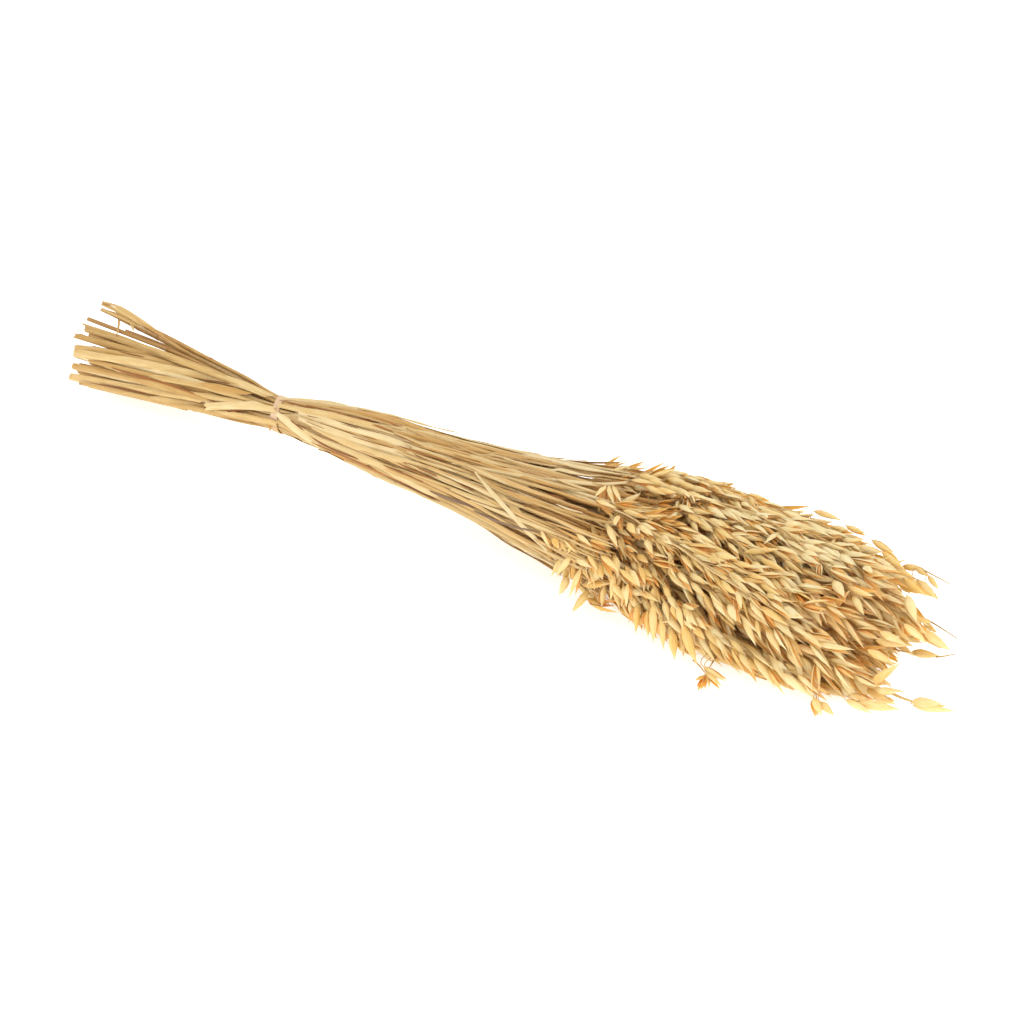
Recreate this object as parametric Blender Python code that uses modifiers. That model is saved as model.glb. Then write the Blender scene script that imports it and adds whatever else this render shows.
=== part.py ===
"""Bundle of dried oats: cut oat stalks with their closed seed heads, lying on a surface,
held at the waist by a narrow flat rubber band, with a few loose dry leaf blades caught in it.

The bundle runs along +X from the cut ends to the tips of the heads. +Z is up.
Each stalk grew as one piece, so culm and head are one solid: a tapering tube that swells
into the outer shape of the panicle.
"""
import math

import bmesh
import bpy
import numpy as np

# ---------------------------------------------------------------- driving dimensions (metres)
N_STALKS = 38            # cut stalks in the bundle
TIE_X = 0.176            # where the band sits, from the cut ends
WAIST_R = 0.0115         # outer radius of the stems where they are tied
CULM_R = 0.00125         # radius of a culm at the tie
CULM_CUT_R = 0.0022      # radius of the thickest culm at its cut end, with its sheath
CULM_TOP_R = 0.00095     # radius of the bare culm just under the head
HEAD_LEN = (0.185, 0.245)   # length of a panicle
HEAD_R = (0.0068, 0.0077)   # outer radius of a closed panicle
HEAD_TWIST = 1.05        # how far the heads wind round the bundle, foot to tip (radians)
GAP = 0.0004             # least air between two stalks
BAND_W = 0.0046          # width of the rubber band
BAND_T = 0.0009          # thickness of the rubber band
BAND_R = 0.0122          # inner radius of the rubber band
LEAF_T = 0.0006          # thickness of a loose leaf blade
ORIGIN = (0.34930, 0.01478, 0.00048)  # middle of the bundle's footprint, in the layout's own coordinates
SEED = 11

# loose dry leaf blades on the outside of the bundle: where each starts and ends along the bundle,
# its angle round the section there (degrees, from +Y towards +Z), width, and how far its
# start and end stand off the stems
LEAVES = [
    # x0     x1     angle0 angle1 width   lift0   lift1
    (0.356, 0.449, 127.0, 172.0, 0.0034, 0.0012, 0.0020),
    (0.288, 0.332, 172.0, 186.0, 0.0026, 0.0012, 0.0016),
    (0.238, 0.318,  74.0,  66.0, 0.0018, 0.0012, 0.0050),
    (0.329, 0.389, 175.0, 165.0, 0.0046, 0.0012, 0.0014),
    (0.250, 0.372,  30.0,  52.0, 0.0042, 0.0012, 0.0022),
    (0.222, 0.318, 248.0, 300.0, 0.0036, 0.0012, 0.0016),
]

# stations along the bundle at which the stalks' places are worked out
XS = np.concatenate([np.linspace(0.0, TIE_X, 6), np.linspace(TIE_X, 0.36, 6)[1:],
                     np.linspace(0.36, 0.72, 16)[1:]])

# outline of the bundle's section along its length
OUTLINE = np.array([
    # x      centre y  half width  lowest z  highest z  squareness of the underside
    (0.000,  0.006,  0.0370,-0.0010, 0.0590, 2.8),
    (0.060,  0.004,  0.0290, 0.0050, 0.0540, 2.6),
    (0.115,  0.002,  0.0195, 0.0120, 0.0475, 2.3),
    (0.155,  0.000,  0.0130, 0.0180, 0.0440, 2.1),
    (0.176,  0.000,  WAIST_R, 0.0200, 0.0200 + 2 * WAIST_R, 2.0),
    (0.196,  0.001,  0.0126, 0.0200, 0.0452, 2.0),
    (0.240,  0.003,  0.0195, 0.0180, 0.0530, 2.0),
    (0.300,  0.004,  0.0285, 0.0140, 0.0585, 2.1),
    (0.360,  0.004,  0.0385, 0.0095, 0.0640, 2.3),
    (0.420,  0.005,  0.0520, 0.0050, 0.0720, 2.5),
    (0.480,  0.009,  0.0590, 0.0000, 0.0755, 2.5),
    (0.540,  0.010,  0.0640, 0.0000, 0.0725, 2.6),
    (0.600,  0.011,  0.0660, 0.0000, 0.0680, 2.6),
    (0.660,  0.015,  0.0630, 0.0000, 0.0680, 2.7),
    (0.720,  0.018,  0.0540, 0.0000, 0.0640, 2.7),
])
TIE_Z = 0.0200 + WAIST_R


def read_outline(x):
    """The outline's row at x, on a smooth curve through the rows above."""
    t = OUTLINE[:, 0]
    i = int(np.clip(np.searchsorted(t, x) - 1, 0, len(t) - 2))
    p1, p2 = OUTLINE[i], OUTLINE[i + 1]
    p0 = OUTLINE[i - 1] if i > 0 else p1 - (p2 - p1)
    p3 = OUTLINE[i + 2] if i + 2 < len(t) else p2 + (p2 - p1)
    h = p2[0] - p1[0]
    u = (x - p1[0]) / h
    m1 = (p2 - p0) / (p2[0] - p0[0]) * h
    m2 = (p3 - p1) / (p3[0] - p1[0]) * h
    row = ((2 * u**3 - 3 * u**2 + 1) * p1 + (u**3 - 2 * u**2 + u) * m1
           + (-2 * u**3 + 3 * u**2) * p2 + (u**3 - u**2) * m2)
    return row[1:]


def spread_disc(n):
    """n points spread evenly over the unit disc."""
    k = np.arange(n) + 0.5
    r = np.sqrt(k / n)
    f = k * np.pi * (3.0 - np.sqrt(5.0))
    p = np.stack([r * np.cos(f), r * np.sin(f)], 1) * 0.95
    want = 1.86 / np.sqrt(n)
    for _ in range(400):
        d = p[:, None] - p[None]
        q = np.sqrt((d ** 2).sum(2)) + np.eye(n) * 9
        push = np.clip(want - q, 0, None)[..., None] * d / q[..., None]
        p = p + 0.25 * push.sum(1)
        rr = np.sqrt((p ** 2).sum(1))[:, None]
        p = np.where(rr > 1.0, p / rr, p)
    return p


def head_radius(t, full):
    """Outer radius of a closed panicle, t from its foot (0) to its tip (1)."""
    rise = np.clip(t / 0.17, 0, 1)
    rise = rise * rise * (3 - 2 * rise)
    fall = np.clip((1.0 - t) / 0.38, 0, 1) ** 0.75
    return full * rise * fall


def lay_out_stalks():
    """Centre line and radius of every stalk at every station, none touching another.

    Each stalk keeps its place in the section as the section swells and shrinks, with a drift
    of its own either side of the tie, and the heads wind slowly round the bundle; then the stalks are eased apart until all are clear.
    """
    rng = np.random.default_rng(SEED)
    n = N_STALKS
    disc = spread_disc(n)
    rad = np.sqrt((disc ** 2).sum(1))
    ang = np.arctan2(disc[:, 1], disc[:, 0])

    cut = np.abs(rng.normal(0.0, 0.012, n)).clip(0, 0.034)
    cut[rng.permutation(n)[:6]] *= 0.15
    vary_tip = rng.uniform(-0.022, 0.014, n)
    length = rng.uniform(HEAD_LEN[0], HEAD_LEN[1], n)
    vary_foot = rng.uniform(0.0, 0.02, n)
    full = rng.uniform(HEAD_R[0], HEAD_R[1], n)
    va = rng.normal(0, 1, (n, 4))
    vr = rng.normal(0, 1, (n, 4))
    turn_cut = rng.normal(0, 0.42, n)
    turn_head = rng.normal(0, 0.36, n)

    end = ang + turn_head - 0.22 + HEAD_TWIST
    across = rad * np.cos(end)
    tip = 0.694 - 0.046 * np.clip(-across, 0, 1) ** 2 - 0.060 * np.clip(across, 0, 1) ** 2
    tip = tip - 0.020 * np.clip(rad * np.sin(end), 0, 1) + vary_tip
    tip = np.minimum(tip, 0.708 - 0.78 * (0.011 + 0.066 * across) + 0.4 * vary_tip)
    tip = np.clip(tip, 0.590, 0.704)
    early = np.clip(rad * np.cos(ang + turn_head - 0.22), 0, 1)
    foot = tip - length - 0.040 * early
    foot = np.maximum(foot, 0.432 - 0.040 * early + vary_foot)

    K = len(XS)
    rows = [read_outline(x) for x in XS]
    pos = np.zeros((n, K, 2))
    R = np.zeros((n, K))
    for k, x in enumerate(XS):
        yc, a, zlo, zhi, sq = rows[k]
        wl = np.clip((TIE_X - x) / 0.14, 0, 1)
        wr = np.clip((x - TIE_X) / 0.22, 0, 1)
        theta = ang + wl * (turn_cut + 0.25) + wr * (turn_head - 0.22)
        theta = theta + wr * 0.10 * np.sin(x * 26 + va[:, 0] * 3)
        theta = theta + HEAD_TWIST * np.clip((x - 0.385) / 0.315, 0, 1) ** 1.25
        rr = rad * (1 + wl * 0.16 * vr[:, 0] + wr * 0.08 * vr[:, 1] * np.sin(x * 17 + va[:, 1] * 3))
        rr = np.clip(rr, 0, 1.0)
        thick = 0.55 + 0.45 * np.tanh(vr[:, 2])
        culm = CULM_R + (CULM_CUT_R - CULM_R) * np.clip((0.16 - x) / 0.16, 0, 1) ** 0.8 * thick
        culm = culm + 0.0002 * thick * np.clip((x - TIE_X) / 0.05, 0, 1)
        culm = culm + (CULM_TOP_R - CULM_R) * np.clip((x - 0.24) / 0.20, 0, 1)
        R[:, k] = np.maximum(culm, head_radius((x - foot) / (tip - foot), full))
        p = rr * np.cos(theta)
        q = rr * np.sin(theta)
        half = np.sqrt(np.clip(1 - p * p, 1e-6, 1))
        q = np.where(q < 0, q / half * (1 - np.abs(p) ** sq) ** (1 / sq), q)
        pos[:, k, 0] = yc + (a - R[:, k]) * p
        pos[:, k, 1] = 0.5 * (zlo + zhi) + (0.5 * (zhi - zlo) - R[:, k]) * q
    target = pos.copy()

    eye = np.eye(n)[:, :, None]
    kt = int(np.argmin(np.abs(XS - TIE_X)))
    for it in range(700):
        if it < 500:
            pos += 0.02 * (target - pos)
            bend = np.zeros_like(pos)
            bend[:, 1:-1] = 0.5 * (pos[:, 2:] + pos[:, :-2]) - pos[:, 1:-1]
            pos += 0.15 * bend
        move = np.zeros_like(pos)
        count = np.full((n, K), 1e-9)
        lean = np.gradient(pos, XS, axis=1)
        for u in (0.0, 0.25, 0.5, 0.75):
            last = K if u == 0 else K - 1
            P = pos if u == 0 else pos[:, :-1] * (1 - u) + pos[:, 1:] * u
            Ru = R if u == 0 else R[:, :-1] * (1 - u) + R[:, 1:] * u
            xu = XS if u == 0 else XS[:-1] * (1 - u) + XS[1:] * u
            Lu = lean if u == 0 else lean[:, :-1] * (1 - u) + lean[:, 1:] * u
            d = P[:, None] - P[None]
            q = np.sqrt((d ** 2).sum(3)) + eye
            both = 0.5 * (Lu[:, None] + Lu[None])
            tilt = (d * both).sum(3) ** 2 / (q ** 2 * (1 + (both ** 2).sum(3)))
            need = ((Ru[:, None] + Ru[None]) * 1.045 + 1.5 * GAP) / np.sqrt(1 - np.clip(tilt, 0, 0.4))
            live = xu[None] <= tip[:, None] + 0.006
            need = need * (live[:, None] & live[None]) * (1 - eye)
            push = np.clip(need - q, 0, None)[..., None] * d / q[..., None]
            mv = 0.5 * push.sum(1)
            c = push.any(3).sum(1)
            move[:, :last] += mv * (1 - u)
            count[:, :last] += c * (1 - u)
            if u > 0:
                move[:, 1:] += mv * u
                count[:, 1:] += c * u
        pos += move / np.maximum(1.0, count[..., None]) * 1.15
        pos[..., 1] = np.maximum(pos[..., 1], R)            # nothing sinks below the surface
        v = pos[:, kt] - np.array([0.0, TIE_Z])             # the band holds the waist round
        rr = np.sqrt((v ** 2).sum(1))[:, None]
        lim = (WAIST_R - R[:, kt])[:, None]
        pos[:, kt] = np.where(rr > lim, np.array([0.0, TIE_Z]) + v / rr * lim, pos[:, kt])
    return cut, foot, tip, pos, R


# ---------------------------------------------------------------- scene
for ob in list(bpy.data.objects):
    bpy.data.objects.remove(ob, do_unlink=True)

bundle = bpy.data.collections.new("dried_oat_bundle")
bpy.context.scene.collection.children.link(bundle)

frame = bpy.data.objects.new("bundle_frame", None)
frame.location = (-ORIGIN[0], -ORIGIN[1], -ORIGIN[2])
bundle.objects.link(frame)


def material(name, colour, roughness):
    m = bpy.data.materials.new(name)
    m.use_nodes = True
    b = m.node_tree.nodes["Principled BSDF"]
    b.inputs["Base Color"].default_value = (*colour, 1.0)
    b.inputs["Roughness"].default_value = roughness
    b.inputs["Metallic"].default_value = 0.0
    m.diffuse_color = (*colour, 1.0)
    return m


STRAW = [material("oat_straw_%d" % (i + 1), c, 0.55) for i, c in enumerate((
    (0.76, 0.52, 0.24), (0.70, 0.45, 0.18), (0.80, 0.60, 0.32), (0.65, 0.40, 0.15)))]
LEAF = material("dry_leaf", (0.83, 0.68, 0.42), 0.6)
RUBBER = material("band_rubber", (0.86, 0.70, 0.60), 0.45)


def add(ob, mat):
    ob.data.materials.append(mat)
    ob.parent = frame
    bundle.objects.link(ob)
    return ob


# ---------------------------------------------------------------- the stalks
cut, foot, tip, pos, R = lay_out_stalks()
for i in range(N_STALKS):
    inner = XS[(XS > cut[i] + 0.006) & (XS < tip[i] - 0.006)]
    xs = np.concatenate([[cut[i]], inner, [tip[i]]])
    ys = np.interp(xs, XS, pos[i, :, 0])
    zs = np.interp(xs, XS, pos[i, :, 1])
    rs = np.interp(xs, XS, R[i])
    rs[-1] = 0.0007
    cu = bpy.data.curves.new("oat_stalk_%02d" % (i + 1), "CURVE")
    cu.dimensions = "3D"
    cu.bevel_depth = 0.001
    cu.bevel_resolution = 1
    cu.use_fill_caps = True
    sp = cu.splines.new("POLY")
    sp.points.add(len(xs) - 1)
    for pt, x, y, z, r in zip(sp.points, xs, ys, zs, rs):
        pt.co = (x, y, z, 1.0)
        pt.radius = r * 1000.0
    sp.use_smooth = True
    add(bpy.data.objects.new("oat_stalk_%02d" % (i + 1), cu), STRAW[i % len(STRAW)])

# ---------------------------------------------------------------- the rubber band
# a flat band with rounded edges: its section turned once round the bundle's axis
steps = 3
section = []
for cx, cz, a0 in ((BAND_W / 2, BAND_T, 0), (-BAND_W / 2, BAND_T, 90), (-BAND_W / 2, 0, 180), (BAND_W / 2, 0, 270)):
    r = BAND_T * 0.3
    cx = cx - math.copysign(r, cx)
    cz = cz - r if cz > 0 else cz + r
    for s in range(steps):
        f = math.radians(a0 + 90 * s / (steps - 1))
        section.append((cx + r * math.cos(f), BAND_R + cz + r * math.sin(f)))
me = bpy.data.meshes.new("rubber_band")
me.from_pydata([(x, 0.0, z) for x, z in section], [(k, (k + 1) % len(section)) for k in range(len(section))], [])
band = add(bpy.data.objects.new("rubber_band", me), RUBBER)
band.location = (TIE_X, 0.0, TIE_Z)
screw = band.modifiers.new("turn", "SCREW")
screw.axis = "X"
screw.angle = 2 * math.pi
screw.steps = 40
screw.render_steps = 40
screw.use_merge_vertices = True
screw.merge_threshold = 0.00005
screw.use_smooth_shade = True


# ---------------------------------------------------------------- loose leaf blades
def on_outline(x, angle, lift):
    """A point on the bundle's outside at x, its outward direction, and the way round."""
    yc, a, zlo, zhi, sq = read_outline(x)
    p, q = math.cos(angle), math.sin(angle)
    b = 0.5 * (zhi - zlo)
    qs = q if q >= 0 else -(1 - abs(p) ** sq) ** (1 / sq)
    out = np.array([0.0, p / a, q / b])
    out = out / np.linalg.norm(out)
    return np.array([x, yc + a * p, 0.5 * (zlo + zhi) + b * qs]) + lift * out, out


for j, (x0, x1, a0, a1, width, lift0, lift1) in enumerate(LEAVES):
    name = "leaf_blade_%02d" % (j + 1)
    bm = bmesh.new()
    bmesh.ops.create_grid(bm, x_segments=11, y_segments=2, size=1.0)
    for v in bm.verts:
        u = 0.5 * (v.co.x + 1)
        x = x0 + (x1 - x0) * u
        ang = math.radians(a0 + (a1 - a0) * u)
        c, out = on_outline(x, ang, lift0 + (lift1 - lift0) * u)
        ahead, _ = on_outline(x + 0.002, ang + math.radians(a1 - a0) * 0.002 / (x1 - x0), lift0 + (lift1 - lift0) * u)
        along = (ahead - c) / np.linalg.norm(ahead - c)
        side = np.cross(out, along)
        half = 0.5 * width * (0.35 + 0.65 * min(1.0, u / 0.15)) * (0.22 + 0.78 * min(1.0, (1 - u) / 0.55) ** 0.8)
        p = c + side * half * v.co.y + out * 0.10 * half * (1 - v.co.y ** 2)
        v.co = p
    bmesh.ops.recalc_face_normals(bm, faces=bm.faces)
    me = bpy.data.meshes.new(name)
    bm.to_mesh(me)
    bm.free()
    leaf = add(bpy.data.objects.new(name, me), LEAF)
    skin = leaf.modifiers.new("thickness", "SOLIDIFY")
    skin.thickness = LEAF_T
    skin.offset = 0.0
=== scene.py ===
import math

import bpy
import numpy as np
from mathutils import Matrix, Vector


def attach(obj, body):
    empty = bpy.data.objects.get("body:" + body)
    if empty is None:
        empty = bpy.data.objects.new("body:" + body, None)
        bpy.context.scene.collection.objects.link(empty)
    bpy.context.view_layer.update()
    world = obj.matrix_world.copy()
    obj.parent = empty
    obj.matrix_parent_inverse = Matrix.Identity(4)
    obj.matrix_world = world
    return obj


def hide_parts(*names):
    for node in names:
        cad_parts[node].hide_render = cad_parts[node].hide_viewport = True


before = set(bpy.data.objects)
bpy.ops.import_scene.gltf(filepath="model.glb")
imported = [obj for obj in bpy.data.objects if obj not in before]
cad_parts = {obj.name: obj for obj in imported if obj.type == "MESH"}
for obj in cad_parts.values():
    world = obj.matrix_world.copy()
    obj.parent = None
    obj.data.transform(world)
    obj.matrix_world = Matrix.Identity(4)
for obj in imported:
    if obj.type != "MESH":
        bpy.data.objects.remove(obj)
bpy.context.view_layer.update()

# ================================================================ the stalks' places, as in the CAD
N_STALKS = 38
TIE_X = 0.176
WAIST_R = 0.0115
CULM_R = 0.00125
CULM_CUT_R = 0.0022
CULM_TOP_R = 0.00095
HEAD_LEN = (0.185, 0.245)
HEAD_R = (0.0068, 0.0077)
HEAD_TWIST = 1.05
GAP = 0.0004
BAND_W = 0.0046
BAND_T = 0.0009
BAND_R = 0.0122
ORIGIN = np.array([0.34930, 0.01478, 0.00048])
SEED = 11
LEAVES = [
    (0.356, 0.449, 127.0, 172.0, 0.0034, 0.0012, 0.0020),
    (0.288, 0.332, 172.0, 186.0, 0.0026, 0.0012, 0.0016),
    (0.238, 0.318,  74.0,  66.0, 0.0018, 0.0012, 0.0050),
    (0.329, 0.389, 175.0, 165.0, 0.0046, 0.0012, 0.0014),
    (0.250, 0.372,  30.0,  52.0, 0.0042, 0.0012, 0.0022),
    (0.222, 0.318, 248.0, 300.0, 0.0036, 0.0012, 0.0016),
]
XS = np.concatenate([np.linspace(0.0, TIE_X, 6), np.linspace(TIE_X, 0.36, 6)[1:],
                     np.linspace(0.36, 0.72, 16)[1:]])
OUTLINE = np.array([
    (0.000,  0.006,  0.0370,-0.0010, 0.0590, 2.8),
    (0.060,  0.004,  0.0290, 0.0050, 0.0540, 2.6),
    (0.115,  0.002,  0.0195, 0.0120, 0.0475, 2.3),
    (0.155,  0.000,  0.0130, 0.0180, 0.0440, 2.1),
    (0.176,  0.000,  WAIST_R, 0.0200, 0.0200 + 2 * WAIST_R, 2.0),
    (0.196,  0.001,  0.0126, 0.0200, 0.0452, 2.0),
    (0.240,  0.003,  0.0195, 0.0180, 0.0530, 2.0),
    (0.300,  0.004,  0.0285, 0.0140, 0.0585, 2.1),
    (0.360,  0.004,  0.0385, 0.0095, 0.0640, 2.3),
    (0.420,  0.005,  0.0520, 0.0050, 0.0720, 2.5),
    (0.480,  0.009,  0.0590, 0.0000, 0.0755, 2.5),
    (0.540,  0.010,  0.0640, 0.0000, 0.0725, 2.6),
    (0.600,  0.011,  0.0660, 0.0000, 0.0680, 2.6),
    (0.660,  0.015,  0.0630, 0.0000, 0.0680, 2.7),
    (0.720,  0.018,  0.0540, 0.0000, 0.0640, 2.7),
])
TIE_Z = 0.0200 + WAIST_R


def read_outline(x):
    """The outline's row at x, on a smooth curve through the rows above."""
    t = OUTLINE[:, 0]
    i = int(np.clip(np.searchsorted(t, x) - 1, 0, len(t) - 2))
    p1, p2 = OUTLINE[i], OUTLINE[i + 1]
    p0 = OUTLINE[i - 1] if i > 0 else p1 - (p2 - p1)
    p3 = OUTLINE[i + 2] if i + 2 < len(t) else p2 + (p2 - p1)
    h = p2[0] - p1[0]
    u = (x - p1[0]) / h
    m1 = (p2 - p0) / (p2[0] - p0[0]) * h
    m2 = (p3 - p1) / (p3[0] - p1[0]) * h
    row = ((2 * u**3 - 3 * u**2 + 1) * p1 + (u**3 - 2 * u**2 + u) * m1
           + (-2 * u**3 + 3 * u**2) * p2 + (u**3 - u**2) * m2)
    return row[1:]


def spread_disc(n):
    """n points spread evenly over the unit disc."""
    k = np.arange(n) + 0.5
    r = np.sqrt(k / n)
    f = k * np.pi * (3.0 - np.sqrt(5.0))
    p = np.stack([r * np.cos(f), r * np.sin(f)], 1) * 0.95
    want = 1.86 / np.sqrt(n)
    for _ in range(400):
        d = p[:, None] - p[None]
        q = np.sqrt((d ** 2).sum(2)) + np.eye(n) * 9
        push = np.clip(want - q, 0, None)[..., None] * d / q[..., None]
        p = p + 0.25 * push.sum(1)
        rr = np.sqrt((p ** 2).sum(1))[:, None]
        p = np.where(rr > 1.0, p / rr, p)
    return p


def head_radius(t, full):
    """Outer radius of a closed panicle, t from its foot (0) to its tip (1)."""
    rise = np.clip(t / 0.17, 0, 1)
    rise = rise * rise * (3 - 2 * rise)
    fall = np.clip((1.0 - t) / 0.38, 0, 1) ** 0.75
    return full * rise * fall


def culm_radius(x, thick):
    """Radius of the bare culm at x."""
    culm = CULM_R + (CULM_CUT_R - CULM_R) * np.clip((0.16 - x) / 0.16, 0, 1) ** 0.8 * thick
    culm = culm + 0.0002 * thick * np.clip((x - TIE_X) / 0.05, 0, 1)
    return culm + (CULM_TOP_R - CULM_R) * np.clip((x - 0.24) / 0.20, 0, 1)


def lay_out_stalks():
    """Centre line and radius of every stalk at every station, none touching another."""
    rng = np.random.default_rng(SEED)
    n = N_STALKS
    disc = spread_disc(n)
    rad = np.sqrt((disc ** 2).sum(1))
    ang = np.arctan2(disc[:, 1], disc[:, 0])

    cut = np.abs(rng.normal(0.0, 0.012, n)).clip(0, 0.034)
    cut[rng.permutation(n)[:6]] *= 0.15
    vary_tip = rng.uniform(-0.022, 0.014, n)
    length = rng.uniform(HEAD_LEN[0], HEAD_LEN[1], n)
    vary_foot = rng.uniform(0.0, 0.02, n)
    full = rng.uniform(HEAD_R[0], HEAD_R[1], n)
    va = rng.normal(0, 1, (n, 4))
    vr = rng.normal(0, 1, (n, 4))
    turn_cut = rng.normal(0, 0.42, n)
    turn_head = rng.normal(0, 0.36, n)

    end = ang + turn_head - 0.22 + HEAD_TWIST
    across = rad * np.cos(end)
    tip = 0.694 - 0.046 * np.clip(-across, 0, 1) ** 2 - 0.060 * np.clip(across, 0, 1) ** 2
    tip = tip - 0.020 * np.clip(rad * np.sin(end), 0, 1) + vary_tip
    tip = np.minimum(tip, 0.708 - 0.78 * (0.011 + 0.066 * across) + 0.4 * vary_tip)
    tip = np.clip(tip, 0.590, 0.704)
    early = np.clip(rad * np.cos(ang + turn_head - 0.22), 0, 1)
    foot = tip - length - 0.040 * early
    foot = np.maximum(foot, 0.432 - 0.040 * early + vary_foot)

    K = len(XS)
    rows = [read_outline(x) for x in XS]
    pos = np.zeros((n, K, 2))
    R = np.zeros((n, K))
    thick = 0.55 + 0.45 * np.tanh(vr[:, 2])
    for k, x in enumerate(XS):
        yc, a, zlo, zhi, sq = rows[k]
        wl = np.clip((TIE_X - x) / 0.14, 0, 1)
        wr = np.clip((x - TIE_X) / 0.22, 0, 1)
        theta = ang + wl * (turn_cut + 0.25) + wr * (turn_head - 0.22)
        theta = theta + wr * 0.10 * np.sin(x * 26 + va[:, 0] * 3)
        theta = theta + HEAD_TWIST * np.clip((x - 0.385) / 0.315, 0, 1) ** 1.25
        rr = rad * (1 + wl * 0.16 * vr[:, 0] + wr * 0.08 * vr[:, 1] * np.sin(x * 17 + va[:, 1] * 3))
        rr = np.clip(rr, 0, 1.0)
        R[:, k] = np.maximum(culm_radius(x, thick), head_radius((x - foot) / (tip - foot), full))
        p = rr * np.cos(theta)
        q = rr * np.sin(theta)
        half = np.sqrt(np.clip(1 - p * p, 1e-6, 1))
        q = np.where(q < 0, q / half * (1 - np.abs(p) ** sq) ** (1 / sq), q)
        pos[:, k, 0] = yc + (a - R[:, k]) * p
        pos[:, k, 1] = 0.5 * (zlo + zhi) + (0.5 * (zhi - zlo) - R[:, k]) * q
    target = pos.copy()

    eye = np.eye(n)[:, :, None]
    kt = int(np.argmin(np.abs(XS - TIE_X)))
    for it in range(700):
        if it < 500:
            pos += 0.02 * (target - pos)
            bend = np.zeros_like(pos)
            bend[:, 1:-1] = 0.5 * (pos[:, 2:] + pos[:, :-2]) - pos[:, 1:-1]
            pos += 0.15 * bend
        move = np.zeros_like(pos)
        count = np.full((n, K), 1e-9)
        lean = np.gradient(pos, XS, axis=1)
        for u in (0.0, 0.25, 0.5, 0.75):
            last = K if u == 0 else K - 1
            P = pos if u == 0 else pos[:, :-1] * (1 - u) + pos[:, 1:] * u
            Ru = R if u == 0 else R[:, :-1] * (1 - u) + R[:, 1:] * u
            xu = XS if u == 0 else XS[:-1] * (1 - u) + XS[1:] * u
            Lu = lean if u == 0 else lean[:, :-1] * (1 - u) + lean[:, 1:] * u
            d = P[:, None] - P[None]
            q = np.sqrt((d ** 2).sum(3)) + eye
            both = 0.5 * (Lu[:, None] + Lu[None])
            tilt = (d * both).sum(3) ** 2 / (q ** 2 * (1 + (both ** 2).sum(3)))
            need = ((Ru[:, None] + Ru[None]) * 1.045 + 1.5 * GAP) / np.sqrt(1 - np.clip(tilt, 0, 0.4))
            live = xu[None] <= tip[:, None] + 0.006
            need = need * (live[:, None] & live[None]) * (1 - eye)
            push = np.clip(need - q, 0, None)[..., None] * d / q[..., None]
            mv = 0.5 * push.sum(1)
            c = push.any(3).sum(1)
            move[:, :last] += mv * (1 - u)
            count[:, :last] += c * (1 - u)
            if u > 0:
                move[:, 1:] += mv * u
                count[:, 1:] += c * u
        pos += move / np.maximum(1.0, count[..., None]) * 1.15
        pos[..., 1] = np.maximum(pos[..., 1], R)
        v = pos[:, kt] - np.array([0.0, TIE_Z])
        rr = np.sqrt((v ** 2).sum(1))[:, None]
        lim = (WAIST_R - R[:, kt])[:, None]
        pos[:, kt] = np.where(rr > lim, np.array([0.0, TIE_Z]) + v / rr * lim, pos[:, kt])
    return cut, foot, tip, pos, R, thick


def on_outline(x, angle, lift):
    """A point on the bundle's outside at x, its outward direction."""
    yc, a, zlo, zhi, sq = read_outline(x)
    p, q = math.cos(angle), math.sin(angle)
    b = 0.5 * (zhi - zlo)
    qs = q if q >= 0 else -(1 - abs(p) ** sq) ** (1 / sq)
    out = np.array([0.0, p / a, q / b])
    out = out / np.linalg.norm(out)
    return np.array([x, yc + a * p, 0.5 * (zlo + zhi) + b * qs]) + lift * out, out


cut, foot, tip, pos, R, thick = lay_out_stalks()

# ---------------------------------------------------------------- camera
AZ, EL, FAR, LENS = math.radians(38.2), math.radians(30.0), 2.2, 120.0
CAM_R = np.array([math.cos(AZ), math.sin(AZ), 0.0])
CAM_F = np.array([-math.sin(AZ) * math.cos(EL), math.cos(AZ) * math.cos(EL), -math.sin(EL)])
CAM_U = np.cross(CAM_R, CAM_F)
FOCAL = 1024 * LENS / 36.0
LOOK = np.array([0.35, 0.0, 0.03]) + CAM_R * (28 / FOCAL * FAR) - CAM_U * (16 / FOCAL * FAR)
EYE = LOOK - CAM_F * FAR


def at_pixel(px, py, depth):
    """Point in the layout's coordinates seen at a pixel of the frame, that far from the lens."""
    return EYE + depth * (CAM_F + CAM_R * (px - 512) / FOCAL - CAM_U * (py - 512) / FOCAL)


def on_floor(px, py, z):
    ray = CAM_F + CAM_R * (px - 512) / FOCAL - CAM_U * (py - 512) / FOCAL
    return EYE + ray * (z - EYE[2]) / ray[2]


def pixel_of(P):
    v = P - EYE
    d = v @ CAM_F
    return np.stack([512 + FOCAL * (v @ CAM_R) / d, 512 - FOCAL * (v @ CAM_U) / d, d], -1)


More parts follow.
